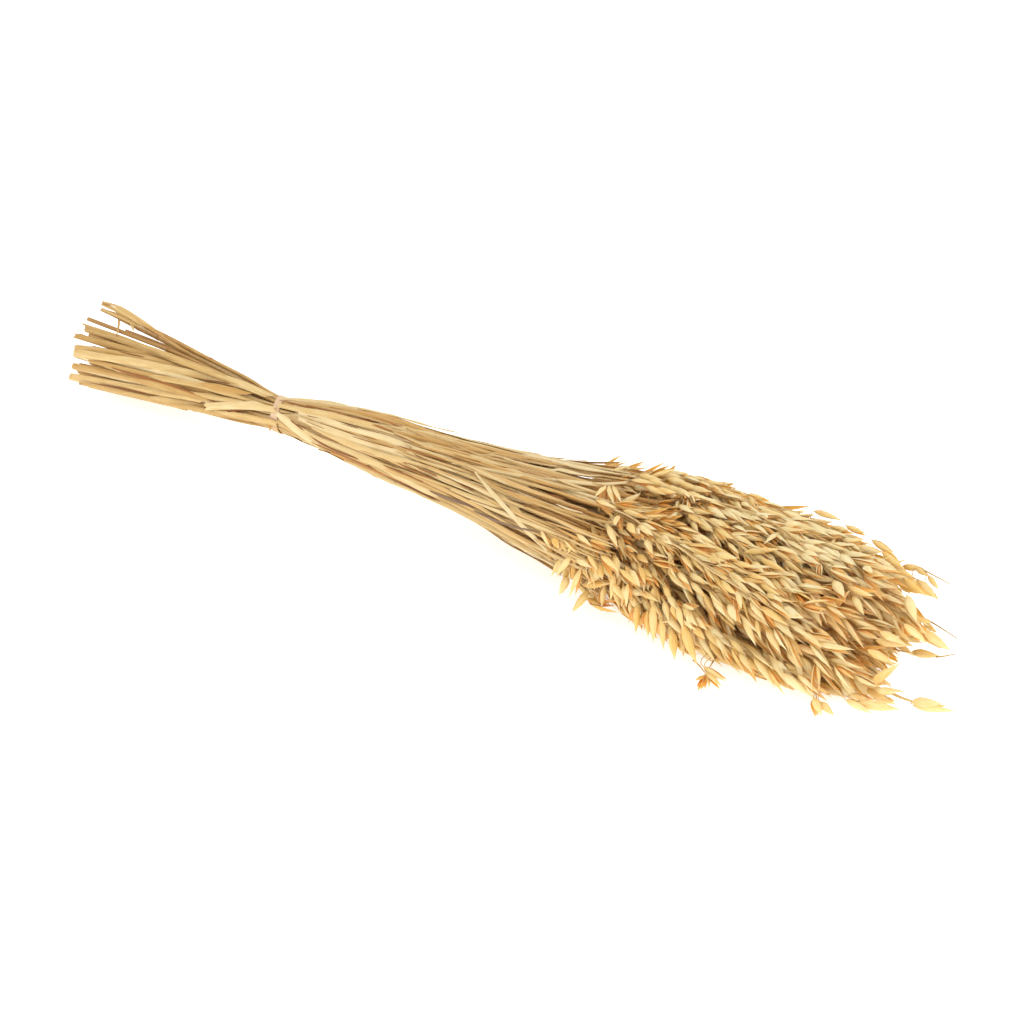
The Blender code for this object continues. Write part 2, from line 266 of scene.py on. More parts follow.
# where the cut end of a stalk shows in the frame: stalk number: (px, py)
END_AT = {
    35: (103, 303), 14: (113, 308.5), 24: (127, 316), 22: (101, 309), 19: (118, 318), 30: (87, 318.5), 32: (126, 331.5),
    27: (94, 330), 9: (86, 328.5), 6: (115, 337), 11: (127, 341), 4: (90, 335), 1: (90, 337.5), 17: (75, 336), 3: (112, 344),
    38: (75, 348), 7: (83, 351), 12: (75, 354), 28: (80, 355), 37: (134, 352), 16: (120, 351), 33: (73, 366), 15: (77, 368),
    20: (85, 369), 36: (70, 377), 31: (80, 383),
}
KT = int(np.argmin(np.abs(XS - TIE_X)))
for n_ in range(N_STALKS):
    T_ = np.array([TIE_X, *pos[n_, KT]])
    E_ = np.array([cut[n_], np.interp(cut[n_], XS, pos[n_, :, 0]), np.interp(cut[n_], XS, pos[n_, :, 1])])
    E2 = E_.copy()
    if n_ + 1 in END_AT:
        E2 = at_pixel(*END_AT[n_ + 1], pixel_of(E_)[2])
        E2[2] = max(E2[2], 0.0022)
    for k_ in range(KT):
        x_ = XS[k_]
        old = E_ + (T_ - E_) * (x_ - E_[0]) / (T_[0] - E_[0])
        new = E2 + (T_ - E2) * (x_ - E2[0]) / (T_[0] - E2[0])
        pos[n_, k_] = new[1:] + 0.22 * (pos[n_, k_] - old[1:])
    cut[n_] = E2[0]
# the stems that stand apart at the top are thin and bow a little
THIN = {34: 0.0, 13: 0.0, 23: 0.0, 21: 0.0, 18: 0.0, 29: 0.0030, 31: 0.0030}
for n_, up_ in THIN.items():
    thick[n_] = 0.36
    for k_ in range(KT):
        u_ = (XS[k_] - cut[n_]) / (TIE_X - cut[n_])
        pos[n_, k_, 1] += up_ * 4 * max(0.0, u_) * (1 - u_)
# right of the band the stems lie a little closer than their outline: frame x, its top and bottom, theirs
SQUEEZE = np.array([(283, 395, 430, 395, 430), (310, 399, 445, 399, 444), (350, 406, 465, 406, 463), (390, 413, 486, 414, 484),
                    (430, 424, 509, 429, 500), (470, 432, 534, 439, 519), (510, 440, 560, 448, 545), (550, 449, 584, 457, 567),
                    (590, 456, 606, 462, 598), (640, 464, 626, 464, 626)], float)


def squeeze(P):
    """How far a point among the stems is raised."""
    q = pixel_of(P)
    t0, t1, n0, n1_ = [np.interp(q[..., 0], SQUEEZE[:, 0], SQUEEZE[:, c]) for c in (1, 2, 3, 4)]
    y = 0.5 * (n0 + n1_) + (q[..., 1] - 0.5 * (t0 + t1)) * (n1_ - n0) / (t1 - t0)
    return (q[..., 1] - y) * q[..., 2] / FOCAL / math.cos(EL)


for k_ in range(KT + 1, len(XS)):
    P_ = np.concatenate([np.full((N_STALKS, 1), XS[k_]), pos[:, k_]], 1)
    pos[:, k_, 1] += squeeze(P_)
SLOPE = np.zeros_like(pos)
SLOPE[:, 1:-1] = (pos[:, 2:] - pos[:, :-2]) / (XS[2:] - XS[:-2])[None, :, None]
SLOPE[:, 0] = (pos[:, 1] - pos[:, 0]) / (XS[1] - XS[0])
SLOPE[:, -1] = (pos[:, -1] - pos[:, -2]) / (XS[-1] - XS[-2])


def unit(v):
    return v / np.maximum(np.linalg.norm(v, axis=-1, keepdims=True), 1e-12)


def smooth(a, b, x):
    t = np.clip((x - a) / (b - a), 0, 1)
    return t * t * (3 - 2 * t)


def centre(i, x):
    """Point and direction of stalk i's centre line at x (i and x arrays of one shape)."""
    x = np.asarray(x, float)
    i = np.broadcast_to(i, x.shape)
    xc = np.clip(x, XS[0], XS[-1])
    k = np.clip(np.searchsorted(XS, xc, side="right") - 1, 0, len(XS) - 2)
    h = XS[k + 1] - XS[k]
    u = ((xc - XS[k]) / h)[..., None]
    p1, p2 = pos[i, k], pos[i, k + 1]
    m1, m2 = SLOPE[i, k] * h[..., None], SLOPE[i, k + 1] * h[..., None]
    p = ((2 * u**3 - 3 * u**2 + 1) * p1 + (u**3 - 2 * u**2 + u) * m1
         + (-2 * u**3 + 3 * u**2) * p2 + (u**3 - u**2) * m2)
    d = ((6 * u**2 - 6 * u) * p1 + (3 * u**2 - 4 * u + 1) * m1
         + (-6 * u**2 + 6 * u) * p2 + (3 * u**2 - 2 * u) * m2) / h[..., None]
    p = p + d * (x - xc)[..., None]
    P = np.concatenate([x[..., None], p], -1)
    D = unit(np.concatenate([np.ones_like(x)[..., None], d], -1))
    return P, D


ROWS_X = np.linspace(-0.02, 0.74, 200)
ROWS = np.array([read_outline(min(max(x, 0.0), 0.7199)) for x in ROWS_X])


def section(P):
    """Where points sit in the bundle's section: p sideways and q upwards, 1 at the outline."""
    yc, a, zlo, zhi = [np.interp(P[..., 0], ROWS_X, ROWS[:, c]) for c in range(4)]
    return (P[..., 1] - yc) / a, (P[..., 2] - 0.5 * (zlo + zhi)) / (0.5 * (zhi - zlo)), a, 0.5 * (zhi - zlo)


# ================================================================ mesh tools
def topo_shell(us, vs, mu=0.02, mv=0.07):
    """A thin sheet with an outer and an inner side and closed edges, as a grid of us by vs."""
    nu, nv = len(us), len(vs)
    m = nu * nv
    a = np.arange(m).reshape(nu, nv)
    lu = mu + (1 - 2 * mu) * (us - us[0]) / (us[-1] - us[0])
    lv = mv + (1 - 2 * mv) * (vs - vs[0]) / (vs[-1] - vs[0])
    LU, LV = np.meshgrid(lu, lv, indexing="ij")
    GU_, GV_ = np.meshgrid(us, vs, indexing="ij")
    q, isl, luv = [], [], []

    def add(idx, island, uv):
        q.append(idx)
        isl.append(island)
        luv.append(uv)

    for i in range(nu - 1):
        for j in range(nv - 1):
            c = [(i, j), (i + 1, j), (i + 1, j + 1), (i, j + 1)]
            add([a[x] for x in c], 0, [(LU[x], LV[x]) for x in c])
            c = c[::-1]
            add([m + a[x] for x in c], 1, [(LU[x], LV[x]) for x in c])
    for i in range(nu - 1):
        add([a[i, 0], m + a[i, 0], m + a[i + 1, 0], a[i + 1, 0]], 0,
            [(lu[i], lv[0]), (lu[i], 0), (lu[i + 1], 0), (lu[i + 1], lv[0])])
        add([a[i, -1], a[i + 1, -1], m + a[i + 1, -1], m + a[i, -1]], 0,
            [(lu[i], lv[-1]), (lu[i + 1], lv[-1]), (lu[i + 1], 1), (lu[i], 1)])
    for j in range(nv - 1):
        add([a[0, j], a[0, j + 1], m + a[0, j + 1], m + a[0, j]], 0,
            [(lu[0], lv[j]), (lu[0], lv[j + 1]), (0, lv[j + 1]), (0, lv[j])])
        add([a[-1, j], m + a[-1, j], m + a[-1, j + 1], a[-1, j + 1]], 0,
            [(lu[-1], lv[j]), (1, lv[j]), (1, lv[j + 1]), (lu[-1], lv[j + 1])])
    q = np.array(q)
    g = np.stack([np.tile(GU_.ravel(), 2), np.tile(GV_.ravel(), 2)], -1)
    rim = np.zeros((nu, nv), np.int8)
    rim[0], rim[-1], rim[:, 0], rim[:, -1] = 1, 1, 1, 1
    rim = np.concatenate([rim.ravel(), rim.ravel() * 2])
    return {"q": q, "isl": np.array(isl), "luv": np.array(luv, float), "g": g[q], "rim": rim, "n": 2 * m, "I": 2}


def topo_tube(us, nv, split=1, mu=0.04):
    """A closed tube of len(us) rings of nv points, its ends capped; cut into split charts along its length."""
    nu = len(us)
    a = np.arange(nu * nv).reshape(nu, nv)
    q, isl, luv, g = [], [], [], []
    per = max(1, int(math.ceil((nu - 1) / split)))
    for i in range(nu - 1):
        s = i // per
        first, last = s * per, min(nu - 1, (s + 1) * per)
        span = us[last] - us[first]
        span = span if abs(span) > 1e-9 else 1e-9
        # charts are laid out by ring number, so that a ring that turns back on itself keeps its place
        f0 = mu + (1 - 2 * mu) * (i - first) / (last - first)
        f1 = mu + (1 - 2 * mu) * (i + 1 - first) / (last - first)
        for j in range(nv):
            k = (j + 1) % nv
            q.append([a[i, j], a[i + 1, j], a[i + 1, k], a[i, k]])
            isl.append(s)
            luv.append([(f0, j / nv), (f1, j / nv), (f1, (j + 1) / nv), (f0, (j + 1) / nv)])
            g.append([(us[i], j / nv), (us[i + 1], j / nv), (us[i + 1], (j + 1) / nv), (us[i], (j + 1) / nv)])
    ns = int(max(isl)) + 1
    th = np.arange(nv) * 2 * np.pi / nv
    for end in (0, 1):
        row = a[-1] if end else a[0]
        cx = 1 - mu / 2 if end else mu / 2
        uvc = np.stack([cx + 0.42 * mu * np.cos(th), 0.5 + 0.45 * np.sin(th)], -1)
        for k in range(nv // 2 - 1):
            c = [k, k + 1, nv - 2 - k, nv - 1 - k]
            if end:
                c = c[::-1]
            q.append([row[x] for x in c])
            isl.append(ns - 1 if end else 0)
            luv.append([uvc[x] for x in c])
            g.append([(us[-1] if end else us[0], x / nv) for x in c])
    return {"q": np.array(q), "isl": np.array(isl), "luv": np.array(luv, float), "g": np.array(g, float),
            "rim": np.zeros(nu * nv, np.int8), "n": nu * nv, "I": ns}


CLEAR = 0.0005   # nothing comes closer than this to the surface the bundle lies on


class Piece:
    """Gathers grids of faces for one object, with a chart for each in one atlas."""

    def __init__(self):
        self.v, self.q, self.luv, self.isl, self.size = [], [], [], [], []
        self.g, self.mat, self.tone, self.rim = [], [], [], []
        self.nv = self.ni = 0

    def put(self, topo, verts, size, gscale, goff, mat, tone):
        """verts (S, n, 3); size (S, I, 2) or (S, 2) chart sizes in metres; tone (S, n, 4)."""
        verts = np.asarray(verts, float).reshape(-1, topo["n"], 3)
        S = len(verts)
        size = np.asarray(size, float)
        if size.ndim == 1:
            size = np.broadcast_to(size, (S, 2))
        if size.ndim == 2:
            size = np.repeat(size[:, None], topo["I"], 1)
        gscale = np.broadcast_to(np.asarray(gscale, float), (S, 2))
        goff = np.broadcast_to(np.asarray(goff, float), (S, 2))
        tone = np.broadcast_to(np.asarray(tone, float), (S, topo["n"], 4))
        off = self.nv + np.arange(S) * topo["n"]
        self.v.append(verts.reshape(-1, 3))
        self.q.append((topo["q"][None] + off[:, None, None]).reshape(-1, 4))
        self.luv.append(np.broadcast_to(topo["luv"][None], (S,) + topo["luv"].shape).reshape(-1, 4, 2))
        self.isl.append((topo["isl"][None] + (self.ni + np.arange(S) * topo["I"])[:, None]).ravel())
        self.size.append(size.reshape(-1, 2))
        self.g.append((topo["g"][None] * gscale[:, None, None] + goff[:, None, None]).reshape(-1, 4, 2))
        self.mat.append(np.full(S * len(topo["q"]), mat))
        self.tone.append(tone.reshape(-1, 4))
        self.rim.append(np.tile(topo["rim"], S))
        self.nv += S * topo["n"]
        self.ni += S * topo["I"]

    def pack(self, size):
        """Shelf packing: each chart's corner and size in the unit square."""
        size = np.maximum(size, 0.0008)
        order = np.lexsort((-size[:, 0], -np.round(size[:, 1], 4)))
        pad = 0.0022
        lo, hi = 0.2, 60.0

        def lay(s):
            at = np.zeros((len(size), 2))
            x = y = tall = 0.0
            for k in order:
                w, h = size[k] * s + pad
                if w > 1.0:
                    return None
                if x + w > 1.0:
                    x, y, tall = 0.0, y + tall, 0.0
                tall = max(tall, h)
                if y + tall > 1.0:
                    return None
                at[k] = x + pad / 2, y + pad / 2
                x += w
            return at

        best = None
        for _ in range(13):
            mid = math.sqrt(lo * hi)
            at = lay(mid)
            if at is None:
                hi = mid
            else:
                lo, best = mid, (mid, at)
        return best

    def build(self, name, mats):
        v = np.concatenate(self.v) - ORIGIN
        v[:, 2] = np.maximum(v[:, 2], CLEAR)
        q = np.concatenate(self.q)
        luv = np.concatenate(self.luv)
        isl = np.concatenate(self.isl)
        size = np.concatenate(self.size)
        g = np.concatenate(self.g)
        mat = np.concatenate(self.mat)
        tone = np.concatenate(self.tone)
        rim = np.concatenate(self.rim)
        s, at = self.pack(size)
        size = np.maximum(size, 0.0008)
        uv = at[isl][:, None] + luv * (size[isl] * s)[:, None]
        me = bpy.data.meshes.new(name)
        me.vertices.add(len(v))
        me.vertices.foreach_set("co", v.astype(np.float32).ravel())
        me.loops.add(len(q) * 4)
        me.loops.foreach_set("vertex_index", q.astype(np.int32).ravel())
        me.polygons.add(len(q))
        me.polygons.foreach_set("loop_start", np.arange(0, len(q) * 4, 4, dtype=np.int32))
        me.polygons.foreach_set("material_index", mat.astype(np.int32))
        me.update(calc_edges=True)
        for label, arr in (("OFBake", uv), ("grain", g)):
            layer = me.uv_layers.new(name=label, do_init=False)
            layer.uv.foreach_set("vector", arr.astype(np.float32).ravel())
        me.uv_layers["OFBake"].active = True
        me.uv_layers["OFBake"].active_render = True
        ca = me.color_attributes.new("tone", "FLOAT_COLOR", "POINT")
        ca.data.foreach_set("color", tone.astype(np.float32).ravel())
        e = np.zeros(len(me.edges) * 2, np.int32)
        me.edges.foreach_get("vertices", e)
        e = e.reshape(-1, 2)
        sharp = (rim[e[:, 0]] > 0) & (rim[e[:, 0]] == rim[e[:, 1]])
        sa = me.attributes.new("sharp_edge", "BOOLEAN", "EDGE")
        sa.data.foreach_set("value", sharp)
        me.polygons.foreach_set("use_smooth", np.ones(len(q), bool))
        for m in mats:
            me.materials.append(m)
        me.update()
        ob = bpy.data.objects.new(name, me)
        bpy.context.scene.collection.objects.link(ob)
        return ob


def tube_verts(C, T, r, nv, flat=1.0, phase=0.0, up=None, slant=None):
    """Rings of nv points round the centre points C (..., nu, 3) with directions T; r (..., nu)."""
    up = np.array([0.0, 0.0, 1.0]) if up is None else up
    n1 = unit(np.cross(np.cross(T, np.broadcast_to(up, T.shape)), T))
    n2 = np.cross(n1, T)
    th = np.arange(nv) * 2 * np.pi / nv
    ph = np.asarray(phase, float)[..., None] + th if np.ndim(phase) else phase + th
    ph = np.broadcast_to(ph, r.shape + (nv,)) if np.ndim(phase) == 0 else ph
    ex = np.asarray(flat, float)
    ex = ex[..., None] if ex.ndim else ex
    V = (C[..., None, :] + (r[..., None] * np.cos(ph))[..., None] * n1[..., None, :]
         + (r[..., None] * np.sin(ph) * ex)[..., None] * n2[..., None, :])
    if slant is not None:
        V = V + (slant[..., None] * np.cos(th))[..., None] * T[..., None, :]
    return V


def sheet_verts(C, T, out, h, w, gamma, thick_mm, nv, turn=0.0, ripple=None):
    """Outer and inner sides of a leaf whose cross-section is an arc, w wide and turned through
    2 gamma, its middle h away from the line C on the side of out."""
    side = unit(np.cross(out, T))
    out = np.cross(T, side)
    v = np.linspace(-1, 1, nv)
    a = gamma[..., None] * v
    rho = (w / (2 * gamma))[..., None]
    c, s = np.cos(turn), np.sin(turn)
    c = np.broadcast_to(c, w.shape)[..., None, None]
    s = np.broadcast_to(s, w.shape)[..., None, None]
    lo = out[..., None, :]
    ls = side[..., None, :]
    o2 = lo * c + ls * s
    s2 = ls * c - lo * s
    mid = C[..., None, :] + lo * h[..., None, None]
    t = np.minimum(thick_mm, 0.4 * w[..., None])

    def surf(rh):
        return mid - o2 * rho[..., None] + o2 * (rh * np.cos(a))[..., None] + s2 * (rh * np.sin(a))[..., None]

    outer = surf(rho)
    inner = surf(rho - t)
    if ripple is not None:
        outer = outer + o2 * ripple[..., None]
        inner = inner + o2 * ripple[..., None]
    return outer, inner


# ================================================================ materials
def nodes_of(mat):
    mat.use_nodes = True
    nt = mat.node_tree
    nt.nodes.clear()
    out = nt.nodes.new("ShaderNodeOutputMaterial")
    b = nt.nodes.new("ShaderNodeBsdfPrincipled")
    nt.links.new(b.outputs[0], out.inputs["Surface"])
    return nt, b


class Graph:
    """Small helper that adds shader nodes and links them."""

    def __init__(self, mat):
        self.nt, self.b = nodes_of(mat)

    def n(self, kind, **kw):
        node = self.nt.nodes.new(kind)
        for k, v in kw.items():
            setattr(node, k, v)
        return node

    def link(self, a, b):
        self.nt.links.new(a, b)

    def grain(self, sx, sy, sz=1.0):
        uv = self.n("ShaderNodeUVMap", uv_map="grain")
        mp = self.n("ShaderNodeMapping")
        mp.inputs["Scale"].default_value = (sx, sy, sz)
        self.link(uv.outputs["UV"], mp.inputs["Vector"])
        return mp.outputs["Vector"]

    def tone(self):
        at = self.n("ShaderNodeAttribute", attribute_name="tone")
        sp = self.n("ShaderNodeSeparateColor")
        self.link(at.outputs["Color"], sp.inputs["Color"])
        return sp.outputs["Red"], sp.outputs["Green"], sp.outputs["Blue"]

    def noise(self, vec, scale, detail=3.0, rough=0.55):
        t = self.n("ShaderNodeTexNoise")
        t.inputs["Scale"].default_value = scale
        t.inputs["Detail"].default_value = detail
        t.inputs["Roughness"].default_value = rough
        self.link(vec, t.inputs["Vector"])
        return t.outputs["Fac"]

    def ramp(self, fac, stops, mode="LINEAR"):
        r = self.n("ShaderNodeValToRGB")
        r.color_ramp.interpolation = mode
        el = r.color_ramp.elements
        while len(el) < len(stops):
            el.new(0.5)
        for e, (p, c) in zip(el, stops):
            e.position = p
            e.color = (*c, 1.0) if len(c) == 3 else c
        self.link(fac, r.inputs["Fac"])
        return r.outputs["Color"]

    def math(self, op, a, b=None, clamp=False):
        m = self.n("ShaderNodeMath", operation=op, use_clamp=clamp)
        for s, v in zip(m.inputs, (a, b)):
            if v is None:
                continue
            if isinstance(v, (int, float)):
                s.default_value = v
            else:
                self.link(v, s)
        return m.outputs[0]

    def mix(self, fac, a, b, mode="MIX"):
        m = self.n("ShaderNodeMix", data_type="RGBA", blend_type=mode)
        for s, v in ((m.inputs[0], fac), (m.inputs[6], a), (m.inputs[7], b)):
            if isinstance(v, (int, float)):
                s.default_value = v
            elif isinstance(v, tuple):
                s.default_value = (*v, 1.0)
            else:
                self.link(v, s)
        return m.outputs[2]

    def range(self, v, a, b, c, d):
        m = self.n("ShaderNodeMapRange")
        for s, x in zip(list(m.inputs)[1:5], (a, b, c, d)):
            s.default_value = x
        self.link(v, m.inputs[0])
        return m.outputs[0]

    def bump(self, height, strength, distance):
        bp = self.n("ShaderNodeBump")
        bp.inputs["Strength"].default_value = strength
        bp.inputs["Distance"].default_value = distance
        self.link(height, bp.inputs["Height"])
        self.link(bp.outputs["Normal"], self.b.inputs["Normal"])


def lin(r, g, b):
    return tuple(((c / 255 + 0.055) / 1.055) ** 2.4 if c > 10 else c / 255 / 12.92 for c in (r, g, b))


def straw_material(name, pale, mid, deep, brown, tip, inside, rough=(0.42, 0.62), nerves=0.5,
                   along=1.0, across=1.0, bump=0.35, spec=0.4, base=0.55, through=0.0):
    """Dry plant tissue: streaks along the grain, mottling, a paler tip, a warmer base that is partly painted shade, and
    an inside colour that also serves as painted shade.
    """
    mat = bpy.data.materials.new(name)
    g = Graph(mat)
    tone, along_t, inner = g.tone()
    streak = g.noise(g.grain(0.35 * along, 5.0 * across), 1.0, 4.0, 0.6)
    fine = g.noise(g.grain(0.9 * along, 17.0 * across), 1.0, 3.0, 0.6)
    blotch = g.noise(g.grain(0.9 * along, 0.8 * across), 1.0, 3.0, 0.5)
    f = g.math("ADD", g.math("MULTIPLY", streak, 0.55), g.math("MULTIPLY", blotch, 0.45))
    f = g.math("ADD", f, g.math("MULTIPLY", g.math("SUBTRACT", tone, 0.5), 0.50))
    col = g.ramp(f, [(0.22, deep), (0.42, mid), (0.60, pale), (0.80, tip)])
    # warmer towards the base, partly the tissue's own colour and partly painted shade where overlapping glumes cover
    # one another's bases; paler towards the tip
    base_warm_and_shade = g.range(along_t, 0.0, 0.34, base, 0.0)
    col = g.mix(base_warm_and_shade, col, g.mix(0.5, mid, deep))
    tip_f = g.range(along_t, 0.62, 1.0, 0.0, 0.55)
    col = g.mix(tip_f, col, tip)
    # nerves: fine darker lines along the grain
    nerve = g.range(fine, 0.50, 0.66, 0.0, nerves)
    col = g.mix(nerve, col, g.mix(0.5, deep, brown))
    # weathered brown flecks
    fleck = g.range(g.noise(g.grain(2.6 * along, 3.4 * across), 1.0, 4.0, 0.65), 0.64, 0.76, 0.0, 0.5)
    col = g.mix(fleck, col, brown)
    # the inside colour, by the third tone channel: inner faces, hollow cut ends and dark joints, and painted shade for
    # parts that lie deep in the bundle or among the stems
    col = g.mix(g.math("MULTIPLY", inner, 0.62), col, inside)
    g.link(col, g.b.inputs["Base Color"])
    g.link(g.range(streak, 0.3, 0.7, rough[0], rough[1]), g.b.inputs["Roughness"])
    g.b.inputs["Specular IOR Level"].default_value = spec
    if through:
        g.b.inputs["Subsurface Weight"].default_value = through
        g.b.inputs["Subsurface Radius"].default_value = (1.0, 0.62, 0.28)
        g.b.inputs["Subsurface Scale"].default_value = 0.0022
    height = g.math("ADD", g.math("MULTIPLY", fine, 0.7), g.math("MULTIPLY", streak, 0.6))
    g.bump(height, bump, 0.0004)
    return mat


# the glumes' strong warm base (0.8) and orange inside colour carry painted shade: where they overlap, and for spikelets
# deep in the bundle
GLUME = straw_material("oat_glume", lin(238, 208, 146), lin(231, 192, 120), lin(220, 168, 88), lin(180, 116, 46),
                       lin(242, 222, 168), lin(246, 170, 80), nerves=0.50, base=0.8, across=0.55, through=0.32)
FLORET = straw_material("oat_floret", lin(234, 180, 96), lin(222, 152, 66), lin(206, 128, 48), lin(160, 92, 34),
                        lin(238, 196, 122), lin(206, 132, 54), nerves=0.5)
CULM = straw_material("oat_culm", lin(211, 181, 125), lin(197, 161, 102), lin(175, 133, 76), lin(135, 92, 46),
                      lin(224, 195, 142), lin(146, 88, 34), rough=(0.34, 0.52), nerves=0.5, across=0.8, bump=0.35, spec=0.3)
SHEATH = straw_material("oat_sheath", lin(220, 194, 140), lin(206, 173, 112), lin(183, 144, 83), lin(143, 100, 50),
                        lin(230, 211, 165), lin(206, 149, 72), rough=(0.38, 0.58), nerves=0.5, bump=0.4, spec=0.3)
# dark sheath material for thin dark strips laid between leaves: partly dark-brown leaf edges, partly painted shade
# lines where shade falls between them
STAIN_AND_SHADE = straw_material("oat_sheath_dark_edge_and_shade", lin(168, 112, 50), lin(146, 90, 34), lin(122, 70, 22), lin(92, 50, 14),
                       lin(186, 134, 72), lin(104, 58, 18), nerves=0.5, base=0.2)

LEAF = straw_material("dry_leaf_blade", lin(224, 198, 140), lin(210, 178, 115), lin(188, 148, 84), lin(145, 102, 52),
                      lin(234, 212, 158), lin(206, 160, 92), nerves=0.5)
GREY_LEAF = straw_material("dry_leaf_weathered", lin(150, 122, 92), lin(124, 96, 70), lin(98, 74, 52),
                           lin(72, 52, 38), lin(168, 140, 108), lin(140, 112, 84), nerves=0.5)
STALK_MATS = [GLUME, FLORET, CULM, SHEATH, STAIN_AND_SHADE, GREY_LEAF]
M_GLUME, M_FLORET, M_CULM, M_SHEATH, M_STAIN_AND_SHADE, M_GREY = range(6)


def rubber_material():
    mat = bpy.data.materials.new("band_rubber_pale")
    g = Graph(mat)
    tone, along_t, inner = g.tone()
    cloud = g.noise(g.grain(0.6, 1.6), 1.0, 3.0, 0.5)
    line = g.noise(g.grain(0.25, 9.0), 1.0, 2.0, 0.5)
    col = g.ramp(g.math("ADD", g.math("MULTIPLY", cloud, 0.7), g.math("MULTIPLY", line, 0.3)),
                 [(0.3, lin(204, 166, 128)), (0.5, lin(214, 180, 144)), (0.72, lin(222, 194, 164))])
    # stained by the straw where it bears on it hardest
    col = g.mix(g.math("MULTIPLY", along_t, 0.8), col, lin(198, 160, 100))
    g.link(col, g.b.inputs["Base Color"])
    g.link(g.range(cloud, 0.3, 0.7, 0.34, 0.5), g.b.inputs["Roughness"])
    g.b.inputs["Specular IOR Level"].default_value = 0.5
    g.bump(line, 0.25, 0.0002)
    return mat


RUBBER = rubber_material()

# ================================================================ spikelets: where they go
rng = np.random.default_rng(4231)
P_mid, D_mid = centre(np.arange(N_STALKS), 0.5 * (foot + tip))
p_mid, q_mid, _, _ = section(P_mid)
HEAD_OUT = np.hypot(p_mid, q_mid)          # how far out each head lies in the bundle

sp = {k: [] for k in ("head", "branch", "s", "phi", "rho", "tilt")}
branches = []                               # (head, s0, phi, first spikelet, last spikelet)
for i in range(N_STALKS):
    L = tip[i] - foot[i]
    count = int(round((10.6 + 5.4 * min(1.0, HEAD_OUT[i])) * L / 0.215)) + 1
    phi = rng.uniform(0, 2 * np.pi)
    for b in range(count):
        f = (b + rng.uniform(-0.2, 0.2)) / (count - 0.2)
        s0 = foot[i] - 0.012 + (L - 0.042) * max(0.0, f)
        phi += 2.3999 + rng.normal(0, 0.22)
        left = tip[i] - s0
        m = int(np.clip(round(left / 0.0074) - 1, 2, 4 + (rng.random() < 0.6)))
        start = len(sp["s"])
        for j in range(m):
            s = s0 + 0.0060 + 0.0073 * j + rng.normal(0, 0.0016)
            t = (s - foot[i]) / L
            sp["head"].append(i)
            sp["branch"].append(len(branches))
            sp["s"].append(s)
            sp["phi"].append(phi + (1 if (j + b) % 2 else -1) * 0.42 + rng.normal(0, 0.16))
            sp["rho"].append((0.0028 + 0.0012 * rng.random()) * (1 - 0.45 * smooth(0.72, 1.0, t)))
            loose = 1.0 if rng.random() > 0.09 else 2.1
            sp["tilt"].append(math.radians(rng.normal(17.0, 5.5) * loose) * (1 - 0.5 * smooth(0.78, 1.0, t)))
        branches.append((i, s0, phi, start, len(sp["s"])))
sp = {k: np.array(v) for k, v in sp.items()}
S = len(sp["s"])
C0, T0 = centre(sp["head"], sp["s"])
pC, qC, aC, bC = section(C0)
up = np.array([0.0, 0.0, 1.0])
N1 = unit(np.cross(np.cross(T0, np.broadcast_to(up, T0.shape)), T0))
N2 = np.cross(N1, T0)
radial = np.cos(sp["phi"])[:, None] * N1 + np.sin(sp["phi"])[:, None] * N2
big = 1 + 0.24 * smooth(0.52, 0.66, C0[:, 0])
LEN = rng.normal(0.0195, 0.0022, S).clip(0.0134, 0.0235) * (1 + 0.35 * (big - 1))
HALF = rng.normal(0.00230, 0.00036, S).clip(0.0017, 0.0033) * big
base = C0 + radial * sp["rho"][:, None]
dirn = T0 * np.cos(sp["tilt"])[:, None] + radial * np.sin(sp["tilt"])[:, None]
# the spikelets hang down round the two sides of the bundle, most where the heads begin: their slope as seen from the
# side, by frame x and by how far round the outline they sit from the far top edge (0) to the near foot (1)
fan = 1 - smooth(0.44, 0.66, C0[:, 0])
outer = smooth(0.30, 0.85, np.hypot(pC, qC))
side_ = np.where(pC > 0.30, -1.0, 1.0)      # the far side mirrors the near one
nrm = unit(np.stack([np.zeros(S), side_ * pC / aC, qC / bC], -1) + 1e-9)
round_ = (np.degrees(np.arctan2(nrm[:, 2], -nrm[:, 1])) + 360) % 360    # 0 near, 90 up, 270 down
round_ = np.where(round_ > 250, round_ - 360, round_)
low_ = np.clip((112 - round_) / 150.0, 0, 1)
SLX = np.array([0.41, 0.47, 0.53, 0.60, 0.70])
SLL = np.array([0.0, 0.35, 0.70, 1.0])
SLA = np.array([(24, 42, 60, 84), (24, 43, 53, 66), (26, 43, 50, 56), (30, 44, 46, 48), (36, 43, 40, 36)], float)
want = np.zeros(S)
fx = np.interp(C0[:, 0], SLX, np.arange(5))
fl = np.interp(low_, SLL, np.arange(4))
ix, il = np.minimum(3, fx.astype(int)), np.minimum(2, fl.astype(int))
ux, ul = fx - ix, fl - il
want = (SLA[ix, il] * (1 - ux) + SLA[ix + 1, il] * ux) * (1 - ul) + (SLA[ix, il + 1] * (1 - ux) + SLA[ix + 1, il + 1] * ux) * ul
want = np.radians(want + rng.normal(0, 7, S))
along_ = np.stack([np.zeros(S), -nrm[:, 2], nrm[:, 1]], -1)              # round the outline, towards the near foot
foot_ = smooth(8.0, -25.0, round_)[:, None]
along_ = unit(along_ * (1 - foot_) + np.array([0.0, -0.10, -1.0]) * foot_)
Tm = T0 * np.array([1.0, 1.0, 1.0])
Tm[:, 1] *= side_
ax_, ay_ = Tm @ CAM_R, -(Tm @ CAM_U)
bx_, by_ = along_ @ CAM_R, -(along_ @ CAM_U)
tw = np.tan(np.minimum(want, 1.45))
hang = (ax_ * tw - ay_) / np.maximum(0.12, by_ - bx_ * tw)
